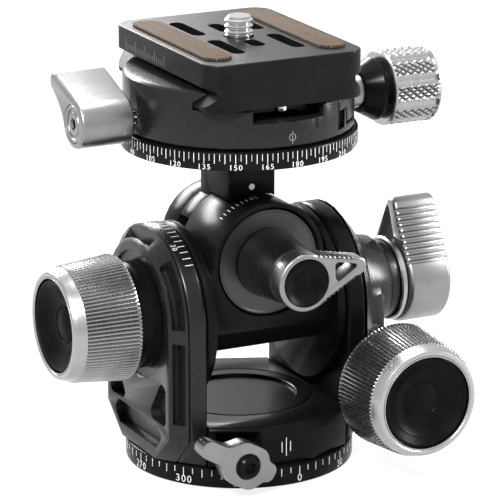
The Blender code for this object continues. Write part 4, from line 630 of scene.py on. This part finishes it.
housingIndex = {"radius": 24.5, "along": 8.7, "first": -90, "count": 1, "wide": 0.17, "thick": 0.05,
                "placeAndLength": ((-1.5, 2.4), (-0.45, 4.2), (0.6, 2.4))}
for place, length in housingIndex["placeAndLength"]:
    line = {**housingIndex, "size": (housingIndex["wide"], length, housingIndex["thick"])}
    tickRing("housingIndex", "Z", (place, 0), line, "yoke")
rimTicks = {"radius": 20.0, "along": -19.05, "first": -45, "count": 19, "span": 90, "size": (0.17, 1.95, 0.05)}
rimNumbers = {"radius": 20.0, "along": -20.8, "height": 1.25}
tickRing("rimTicks", "X", firstTilt, rimTicks, "yoke")
numberRing("rimNumbers", "X", firstTilt, rimNumbers, (("30", 60), ("0", 90), ("30", 120)), "yoke")
print("yoke ready")

# Base lever

baseLever = {"axis": (-11.9, 7.2), "thick": (-28.7, -24.7), "lean": 151, "rim": 0.55,
             "corners": [(12.4, -2.0), (12.4, 2.0), (6.2, 2.1), (3.0, 4.9), (-3.2, 4.9), (-5.2, 1.9), (-7.1, 1.2),
                         (-7.1, -2.8), (-4.6, -2.6), (-3.0, -4.9), (3.0, -4.9), (6.2, -2.1)],
             "radii": [1.9, 1.9, 3.5, 3.2, 3.2, 1.5, 1.7, 1.7, 1.5, 3.2, 3.2, 3.5]}
baseScrew = {"profile": [(0, -28.6), (3.0, -28.6), (3.0, -28.8), (2.6, -28.9), (2.5, -29.7), (2.2, -30.0),
                         (1.5, -30.0), (0, -30.0)],
             "steps": 40, "socket": 1.5, "socketLean": 12, "socketDepth": (-30.2, -28.9)}
outline = filleted(baseLever["corners"], baseLever["radii"])
twoWings = slab("baseLever", "Y", turnedBy(outline, baseLever["lean"], baseLever["axis"]), *baseLever["thick"],
                baseLever["rim"])
settle(twoWings, silver, "base_lock", ("base_lock_lever",))
screwHead = lathe("baseScrew", "Y", baseLever["axis"], baseScrew["profile"], baseScrew["steps"])
socket = slab("socket", "Y", hexagon(baseScrew["socket"], baseScrew["socketLean"], baseLever["axis"]),
              *baseScrew["socketDepth"])
settle(cut(screwHead, socket), black, "base_lock", ("base_lock_screw",))

# First tilt's lock

thumb = {"thick": (38.6, 49.3), "hub": 10.4, "tip": (0.2, 52.4), "tipRadius": 2.4, "rim": 1.1, "rimSteps": 4,
         "brokenEdge": 0.13, "teeth": 10, "toothDepth": 0.75, "toothed": (0.04, 1),
         "eye": [(-3.4, 42.0), (6.8, 42.0), (1.5, 54.2)], "eyeRadii": [1.1, 1.1, 0.9], "eyeDepth": (37, 51)}
outline, sides = twoCircles(firstTilt, thumb["hub"], thumb["tip"], thumb["tipRadius"])
paddle = slab("thumbLever", "X", outline, *thumb["thick"], thumb["rim"], thumb["rimSteps"])
comb = serration("X", sides[1], thumb)
eye = slab("eye", "X", filleted(thumb["eye"], thumb["eyeRadii"]), *thumb["eyeDepth"])
settle(softEdges(cut(paddle, comb, eye), thumb["brokenEdge"]), silver, "first_lock", ("thumb_lever",))
dressed("thumb_stud", steel)
thumbRing = lathe("thumbRing", "X", firstTilt, [
    (3.3, 36.8), (9.4, 36.8), (9.7, 37.1), (9.7, 38.0), (9.4, 38.3), (3.3, 38.3)])
settle(thumbRing, silverX, "first_lock", ("thumb_collar",))
print("locks ready")

# Fine adjusting knobs

# both profiles: radius and distance forward of the knob's back
fineKnob = {"shell": [(3.3, 0), (13.3, 0), (13.9, 0.25), (14.15, 0.8), (13.0, 12.6), (12.7, 12.75), (12.55, 13.1),
                      (12.15, 15.0), (11.85, 15.45), (11.5, 15.6), (11.15, 15.6), (10.95, 15.5), (10.8, 15.3),
                      (10.7, 15.45), (10.5, 15.45), (10.5, 11.3), (3.3, 11.3)],
            "dish": [(0, 11.6), (10.2, 11.6), (10.2, 15.0), (10.0, 15.2), (9.6, 15.15), (8.7, 14.5), (8.1, 14.1),
                     (7.9, 14.15), (7.7, 14.0), (6.4, 13.2), (5.0, 12.85), (4.3, 12.8), (4.2, 13.0), (4.05, 13.05),
                     (3.9, 12.9), (3.0, 13.3), (1.6, 13.65), (0, 13.75)],
            "front": 13.0, "ribs": 96, "stepsPerRib": 4, "ribDepth": 0.5, "skin": 12.9, "ribbed": (0.5, 12.8)}


def adjustingKnob(name, axis, centre, back, finish, body, node, worm):
    steps = fineKnob["ribs"] * fineKnob["stepsPerRib"]
    shell = lathe(name, axis, centre, [(radius, back - ahead) for radius, ahead in fineKnob["shell"]], steps)
    nearEnd, farEnd = [back - ahead for ahead in fineKnob["ribbed"]]
    drawIn(shell, axis, centre, 1 - fineKnob["ribDepth"] / fineKnob["front"],
           lambda radius, around, along: radius > fineKnob["skin"]
           and round(around * steps) % fineKnob["stepsPerRib"] > 1 and farEnd < along < nearEnd)
    settle(shell, finish, body, (node,), angle=32)
    # the points drawn in are still selected: the floors between the ribs get painted shade, a darker finish
    bpy.ops.object.mode_set(mode="EDIT")
    paint(shell, grooveShadeGrey)
    dish = lathe(name + "Dish", axis, centre, [(radius, back - ahead) for radius, ahead in fineKnob["dish"]])
    settle(dish, dishBlack, body, (node + "_dish",), angle=28)
    dressed(worm, steel)


adjustingKnob("leftKnob", "X", firstTilt, -29.9, silverX, "second_drive", "left_knob", "left_worm_shaft")
adjustingKnob("rightKnob", "Y", rightWorm, -27.0, silverY, "first_drive", "right_knob", "right_worm_shaft")
print("knobs ready")

# Cradle

frontCap = {"profile": [(2.9, -14.6), (11.3, -14.6), (11.45, -14.7), (11.8, -14.7), (12.0, -14.5), (12.2, -14.2),
                        (12.2, -12.9), (2.9, -12.9)], "steps": 144}
barrelTicks = {"radius": 13.5, "along": -9.9, "first": -43, "count": 9, "span": 40, "size": (0.15, 1.4, 0.05)}
dressed("cradle_body", black, 0.2)
dressed("tilt_wheel", bronze)
cap = lathe("frontCap", "Y", secondTilt, frontCap["profile"], frontCap["steps"])
settle(cap, capGrey, "cradle", ("front_cap",))
tickRing("barrelTicks", "Y", secondTilt, barrelTicks, "cradle")
print("cradle ready")

# Neck and top dial

segmentTips = {"from": 8.3, "share": 0.975}
neckDot = {"profile": [(0, -6.55), (0.7, -6.55), (0.7, -6.4), (0, -6.4)], "steps": 24, "height": 63.7}
dressed("tilt_hub", black, 0.3)
dressed("tilt_shaft", steel)
# the tips keep clear of the worm's thread at the end of the tilt
drawIn(dressed("tilt_segment", bronze), "Y", secondTilt, segmentTips["share"],
       lambda radius, around, along: radius > segmentTips["from"])
dressed("top_spindle", steel)
dot = lathe("neckDot", "Y", (0, neckDot["height"]), neckDot["profile"], neckDot["steps"])
settle(dot, markWhite, "head")
# the scale's 177.7 degrees face the front
topDial = {"profile": [(4.3, 72.6), (25.9, 72.6), (26.25, 72.7), (26.42, 73.0), (26.42, 76.3), (26.3, 76.58),
                       (26.05, 76.7), (4.3, 76.7)], "steps": 180, "zero": -90 - 177.7, "degreesApart": 15}
dialLongTicks = {"radius": 26.43, "along": 75.35, "first": topDial["zero"], "count": 72, "span": 360,
                 "size": (0.14, 2.1, 0.06)}
dialTicks = {"radius": 26.43, "along": 75.65, "first": topDial["zero"] + 2.5, "count": 72, "span": 360,
             "size": (0.11, 1.5, 0.05)}
dialNumbers = {"radius": 26.43, "along": 73.45, "height": 1.25}
dial = lathe("topDial", "Z", upright, topDial["profile"], topDial["steps"])
settle(dial, black, "head", ("top_dial",))
tickRing("dialLongTicks", "Z", upright, dialLongTicks, "head")
tickRing("dialTicks", "Z", upright, dialTicks, "head")
numberRing("dialNumbers", "Z", upright, dialNumbers,
           [(str(value), topDial["zero"] + value) for value in range(0, 360, topDial["degreesApart"])], "head")
print("dial ready")

# Second tilt's lock

wing = {"thick": (-33.1, -28.3), "ring": 6.45, "tip": (12.8, 50.85), "tipRadius": 1.9, "rim": 0.5,
        "brokenEdge": 0.12, "teeth": 8, "toothDepth": 0.45, "toothed": (0.14, 0.9),
        "eye": [(7.1, 47.5), (13.0, 51.3), (6.9, 52.5)], "eyeRadii": [0.7, 0.5, 0.8], "eyeDepth": (-34, -28),
        "seat": [(0, -34), (5.4, -34), (5.4, -30.7), (0, -30.7)]}
boss = lathe("secondBoss", "Y", secondTilt, [
    (0, -5.0), (2.6, -5.0), (2.6, -15.0), (7.5, -15.0), (7.75, -15.2), (7.78, -15.5), (6.35, -27.8), (6.1, -28.0),
    (0, -28.0)])
settle(boss, glossBlack, "second_lock", ("second_lock_boss",))
outline, sides = twoCircles(secondTilt, wing["ring"], wing["tip"], wing["tipRadius"])
oneWing = slab("secondLever", "Y", outline, *wing["thick"], wing["rim"])
tools = [serration("Y", side, wing) for side in sides]
tools.append(slab("eye", "Y", filleted(wing["eye"], wing["eyeRadii"]), *wing["eyeDepth"]))
tools.append(lathe("seat", "Y", secondTilt, wing["seat"]))
settle(softEdges(cut(oneWing, *tools), wing["brokenEdge"]), silver, "second_lock", ("second_lock_lever",))
lockDish = lathe("secondDish", "Y", secondTilt, [
    (0, -30.8), (5.35, -30.8), (5.35, -32.7), (5.15, -32.84), (4.4, -32.3), (3.4, -31.8), (2.2, -31.6), (2.1, -31.75),
    (1.9, -31.7), (1.0, -32.0), (0, -32.1)])
settle(lockDish, dishBlack, "second_lock", ("second_lock_dish",), angle=28)
print("second lock ready")

# Clamp

clamp = {"edge": 0.25, "pocket": ((13.3, -24.5, 78.6), (15.8, -19.0, 82.7)), "groovePlace": (6.7, -25.1),
         "groove": [(0, 80.6), (0.8, 80.6), (0.8, 91), (0, 91)], "grooveSteps": 32}
for node in ("clamp_base", "movable_jaw"):
    half = dressed(node, glossBlack, clamp["edge"])
    cut(half, block("seamPocket", *clamp["pocket"]))
    if node == "clamp_base":
        cut(half, lathe("thumbGroove", "Z", clamp["groovePlace"], clamp["groove"], clamp["grooveSteps"]))
clampIndex = {"centre": (0.2, 79.4), "ring": [(0.68, -25.76), (0.82, -25.76), (0.82, -25.6), (0.68, -25.6)],
              "ringSteps": 40, "line": ((0.13, -25.76, 78.0), (0.27, -25.6, 80.8))}
ring = lathe("clampIndexRing", "Y", clampIndex["centre"], clampIndex["ring"], clampIndex["ringSteps"])
line = block("clampIndexLine", *clampIndex["line"])
settle(joinAll("clampIndex", [ring, line]), markGrey, "clamp")
for node in ("front_jaw_pin", "rear_jaw_pin", "clamp_lock_stud"):
    dressed(node, steel)

# the lock lever's outline: round its hub, along a hollow edge, round its tip
flag = {"thick": (-40.0, -27.6), "hub": 5.5, "hubSpan": (74, 310, 40), "tip": 12.7, "tipRadius": 2.0,
        "tipSpan": (-90, 74, 14), "hollow": ((3.54, -4.21), (6.2, -1.9), (12.7, -2.0)), "hollowSteps": 10,
        "lean": 34.5, "rim": 0.6, "brokenEdge": 0.1, "recess": [(0, -41), (4.3, -41), (4.3, -39.3), (0, -39.3)],
        "recessSteps": 64}
flagPlug = {"profile": [(0, -39.25), (4.2, -39.25), (4.2, -39.8), (4.05, -39.95), (3.5, -39.95), (3.35, -39.8),
                        (3.3, -39.55), (2.7, -39.55), (2.6, -39.8), (2.4, -39.9), (0, -39.9)],
            "steps": 64, "socket": 1.5, "socketLean": 10, "socketDepth": (-41, -39.3), "brokenEdge": 0.05}
outline = (arc((0, 0), flag["hub"], *flag["hubSpan"]) + sweepBetween(*flag["hollow"], flag["hollowSteps"])
           + arc((flag["tip"], 0), flag["tipRadius"], *flag["tipSpan"]))
clampLever = slab("clampLever", "X", turnedBy(outline, flag["lean"], clampAxis), *flag["thick"], flag["rim"])
recess = lathe("recess", "X", clampAxis, flag["recess"], flag["recessSteps"])
settle(softEdges(cut(clampLever, recess), flag["brokenEdge"]), silver, "pan_lock", ("clamp_lock_lever",))
plug = lathe("clampLeverPlug", "X", clampAxis, flagPlug["profile"], flagPlug["steps"])
socket = slab("socket", "X", hexagon(flagPlug["socket"], flagPlug["socketLean"], clampAxis), *flagPlug["socketDepth"])
settle(softEdges(cut(plug, socket), flagPlug["brokenEdge"]), silver, "pan_lock", ())

flange = lathe("knobFlange", "X", clampAxis, [
    (4.3, 29.5), (5.0, 29.5), (6.9, 32.9), (7.1, 33.2), (7.1, 33.9), (6.9, 34.1), (4.3, 34.1)])
settle(flange, black, "clamp_screw", ("clamp_knob_flange",))
clampKnob = {"radius": 8.65, "steps": 144, "row": 0.475, "rows": 22, "firstRow": 35.95,
             "back": [(4.3, 35.0), (8.1, 35.0), (8.5, 35.2), (8.65, 35.6)],
             "front": [(8.65, 46.4), (8.5, 46.8), (8.1, 47.0), (6.6, 47.0), (6.4, 46.7), (0, 46.7), (0, 44.0),
                       (4.3, 44.0)],
             "skin": 8.6, "floor": 7.9, "knurled": (35.9, 46.0), "depth": 0.6, "fluteSteps": 16, "fluteHalf": 3,
             "fluteDepths": ((3, 0.3), (2, 0.55), (1, 0.68), (0, 0.72))}
rows = [(clampKnob["radius"], clampKnob["firstRow"] + clampKnob["row"] * row) for row in range(clampKnob["rows"])]
knob = lathe("clampKnob", "X", clampAxis, clampKnob["back"] + rows + clampKnob["front"], clampKnob["steps"])


def inKnurl(along):
    low, high = clampKnob["knurled"]
    return low < along < high


def offFlute(step):
    # steps from the middle of the nearest flute
    return min(step % clampKnob["fluteSteps"], -step % clampKnob["fluteSteps"])


def pressIn(depth, wanted):
    # the knurl's points that pass the test, by step round and row along
    def test(radius, around, along):
        step = round(around * clampKnob["steps"])
        row = round((along - clampKnob["firstRow"]) / clampKnob["row"])
        return radius > clampKnob["skin"] and inKnurl(along) and wanted(step, row)
    drawIn(knob, "X", clampAxis, 1 - depth / clampKnob["radius"], test)


# crossed grooves every fourth step, and half as deep beside them
pressIn(clampKnob["depth"], lambda step, row: offFlute(step) > clampKnob["fluteHalf"]
        and ((step + row) % 4 == 0 or (step - row) % 4 == 0))
pressIn(clampKnob["depth"] / 2, lambda step, row: offFlute(step) > clampKnob["fluteHalf"] and (step + row) % 2 == 1)
for off, deep in clampKnob["fluteDepths"]:
    pressIn(deep, lambda step, row: offFlute(step) == off)
settle(knob, silverX, "clamp_screw", ("clamp_knob",), angle=26)


def betweenFlutes(point):
    level, up = point.y / mm, point.z / mm - clampAxis[1]
    step = round(math.atan2(up, level) / turn % 1 * clampKnob["steps"])
    return (offFlute(step) > clampKnob["fluteHalf"] and inKnurl(point.x / mm)
            and math.hypot(level, up) > clampKnob["floor"])


# the knurl between the flutes gets the finish with painted shade in its grooves
choose(knob, betweenFlutes)
paint(knob, clampKnurlShade)
dressed("clamp_knob_shaft", silver, 0.1)
print("clamp ready")

# Plate

plate = {"half": (19.0, 25.2), "middle": (0, 0.45), "corner": 4.5, "levels": (86.0, 96.5), "rim": 0.3, "rimSteps": 2,
         "brokenEdge": 0.16, "groove": ((20.2, 86.0), (18.95, 87.0), (16.2, 89.9), (16.2, 91.3), (20.2, 91.3)),
         "grooveSpan": (-30, 30), "screwRoom": [(0, 85), (6.1, 85), (6.1, 88.9), (3.4, 88.9), (3.4, 98), (0, 98)],
         "screwRoomSteps": 64, "stopRoom": [(0, 85), (1.8, 85), (1.8, 88.3), (0, 88.3)], "stopRoomSteps": 24,
         "stops": (-20.4, 20.4)}
# the slots by column: their middle across the plate, and both ends of each along it
slots = {"half": 1.65, "steps": 12, "span": (85, 98),
         "columns": ((-7.2, ((-15.8, -1.3), (3.9, 18.5))), (0, ((-11.0, -4.6), (4.0, 13.4))),
                     (7.2, ((-15.8, -1.3), (3.9, 18.5))))}
topPlate = slab("quickPlate", "Z", roundedBox(*plate["half"], plate["corner"], plate["middle"]), *plate["levels"],
                plate["rim"], plate["rimSteps"])
tools = []
for side in (-1, 1):
    tools.append(slab("vGroove", "Y", [(side * u, v) for u, v in plate["groove"]], *plate["grooveSpan"]))
for column, ends in slots["columns"]:
    for start, end in ends:
        half = slots["half"]
        outline = (arc((column, end - half), half, 0, 180, slots["steps"])
                   + arc((column, start + half), half, 180, 360, slots["steps"]))
        tools.append(slab("slot", "Z", outline, *slots["span"]))
tools.append(lathe("screwRoom", "Z", upright, plate["screwRoom"], plate["screwRoomSteps"]))
for stop in plate["stops"]:
    tools.append(lathe("stopRoom", "Z", (0, stop), plate["stopRoom"], plate["stopRoomSteps"]))
softEdges(cut(topPlate, *tools), plate["brokenEdge"])
settle(topPlate, plateBlack, "plate", ("quick_plate",), angle=18)
cork = {"half": (3.25, 20.5), "corner": 3.0, "middle": (13.75, 0.45), "levels": (96.45, 97.1), "rim": 0.12,
        "rimSteps": 2}
for side, node in ((-1, "left_pad"), (1, "right_pad")):
    outline = roundedBox(*cork["half"], cork["corner"], (side * cork["middle"][0], cork["middle"][1]))
    pad = slab(node + "Cork", "Z", outline, *cork["levels"], cork["rim"], cork["rimSteps"])
    settle(pad, padBrown, "plate", (node,))
for node in ("front_stop_screw", "rear_stop_screw"):
    dressed(node, steel, 0.1)
# lines 1 mm apart, each fifth one longer
ruler = {"across": (-19.02, -18.9), "start": -2.0, "count": 21, "half": 0.07, "short": (91.9, 93.1),
         "long": (91.6, 94.3)}
lines = []
for number in range(ruler["count"]):
    y = ruler["start"] + number
    low, high = ruler["short"] if number % 5 else ruler["long"]
    lines.append(block("rulerLine", (ruler["across"][0], y - ruler["half"], low),
                       (ruler["across"][1], y + ruler["half"], high)))
settle(joinAll("plateRuler", lines), markGrey, "plate")
cameraScrew = {"head": [(0, 86.4), (5.6, 86.4), (5.8, 86.6), (5.8, 88.4), (5.6, 88.6), (3.0, 88.6), (3.0, 96.9)],
               "end": [(2.7, 100.9), (2.45, 101.2), (0, 101.2)], "steps": 64, "threaded": (97.0, 100.2),
               "pitch": 1.27, "root": 2.65, "crest": 3.17, "crestSpan": (0.55, 0.7), "rootAgain": 1.2}
thread = []
level, threadEnd = cameraScrew["threaded"]
while level < threadEnd:
    thread += [(cameraScrew["root"], level)]
    thread += [(cameraScrew["crest"], level + above) for above in cameraScrew["crestSpan"]]
    thread += [(cameraScrew["root"], level + cameraScrew["rootAgain"])]
    level += cameraScrew["pitch"]
screw = lathe("cameraScrew", "Z", upright, cameraScrew["head"] + thread + cameraScrew["end"], cameraScrew["steps"])
settle(screw, steel, "screw", ("camera_screw",))
print("plate ready")

# Light, floor and camera

studio = {"fill": 0.12, "floorSize": 6, "floorLevel": -0.0002, "floorGrey": 0.92, "floorRoughness": 0.9,
          "floorGlow": 0.85}
world = bpy.data.worlds.new("studio")
bpy.context.scene.world = world
world.use_nodes = True
nodes = world.node_tree.nodes
links = world.node_tree.links


def brightRays(nodes, links):
    # 1 for camera, glossy and transmission rays, otherwise 0
    rays = nodes.new("ShaderNodeLightPath")
    seen = rays.outputs["Is Camera Ray"]
    for kind in ("Is Glossy Ray", "Is Transmission Ray"):
        either = nodes.new("ShaderNodeMath")
        either.operation = "MAXIMUM"
        links.new(seen, either.inputs[0])
        links.new(rays.outputs[kind], either.inputs[1])
        seen = either.outputs["Value"]
    return seen


# white behind the head and in its reflections, dim as a light
glow = nodes["Background"]
glow.inputs["Color"].default_value = (1, 1, 1, 1)
strength = nodes.new("ShaderNodeMapRange")
strength.inputs["To Min"].default_value = studio["fill"]
strength.inputs["To Max"].default_value = 1.0
links.new(brightRays(nodes, links), strength.inputs["Value"])
links.new(strength.outputs["Result"], glow.inputs["Strength"])


def softLamp(name, place, target, size, power):
    # places and sizes in metres
    lamp = bpy.data.lights.new(name, "AREA")
    lamp.shape = "RECTANGLE"
    lamp.size, lamp.size_y = size
    lamp.energy = power
    holder = bpy.data.objects.new(name, lamp)
    bpy.context.scene.collection.objects.link(holder)
    holder.location = place
    holder.rotation_euler = (Vector(target) - Vector(place)).to_track_quat("-Z", "Y").to_euler()


softLamp("keyLamp", place=(-0.35, -0.35, 0.45), target=(0, 0, 0.05), size=(0.11, 0.11), power=7.5)
softLamp("sideLamp", place=(0.42, -0.20, 0.22), target=(0, 0, 0.05), size=(0.05, 0.24), power=3.6)
softLamp("backLamp", place=(-0.02, 0.52, 0.30), target=(0, 0, 0.06), size=(0.45, 0.16), power=7.0)
softLamp("topLamp", place=(0.05, 0.10, 0.60), target=(0, 0, 0.08), size=(0.16, 0.12), power=5.5)

bpy.ops.object.select_all(action="DESELECT")
bpy.ops.mesh.primitive_plane_add(size=studio["floorSize"], location=(0, 0, studio["floorLevel"]))
floor = bpy.context.object
floor.name = "studioFloor"
floorFinish, nodes, links, shader = newFinish("paleFloor")
shader.inputs["Base Color"].default_value = (*grey(studio["floorGrey"]), 1)
shader.inputs["Roughness"].default_value = studio["floorRoughness"]
glowing = nodes.new("ShaderNodeEmission")
glowing.inputs["Color"].default_value = (1, 1, 1, 1)
share = nodes.new("ShaderNodeMath")
share.operation = "MULTIPLY"
share.inputs[1].default_value = studio["floorGlow"]
links.new(brightRays(nodes, links), share.inputs[0])
blend = nodes.new("ShaderNodeMixShader")
links.new(share.outputs["Value"], blend.inputs["Fac"])
links.new(shader.outputs["BSDF"], blend.inputs[1])
links.new(glowing.outputs["Emission"], blend.inputs[2])
links.new(blend.outputs["Shader"], nodes["Material Output"].inputs["Surface"])
floor.data.materials.append(floorFinish)

# place in metres, fitted to the photograph; down and aside in degrees
photoCamera = {"lens": 240.5, "sensor": 36.0, "place": (-0.3178, -0.6433, 0.2582), "down": 16.37, "aside": -26.49,
               "farthest": 10}
lens = bpy.data.cameras.new("photoCamera")
lens.lens = photoCamera["lens"]
lens.sensor_width = photoCamera["sensor"]
lens.clip_end = photoCamera["farthest"]
viewer = bpy.data.objects.new("photoCamera", lens)
bpy.context.scene.collection.objects.link(viewer)
viewer.location = photoCamera["place"]
viewer.rotation_euler = (math.radians(90 - photoCamera["down"]), 0, math.radians(photoCamera["aside"]))
bpy.context.scene.camera = viewer
bpy.context.scene.view_settings.view_transform = "Standard"
print("studio ready")
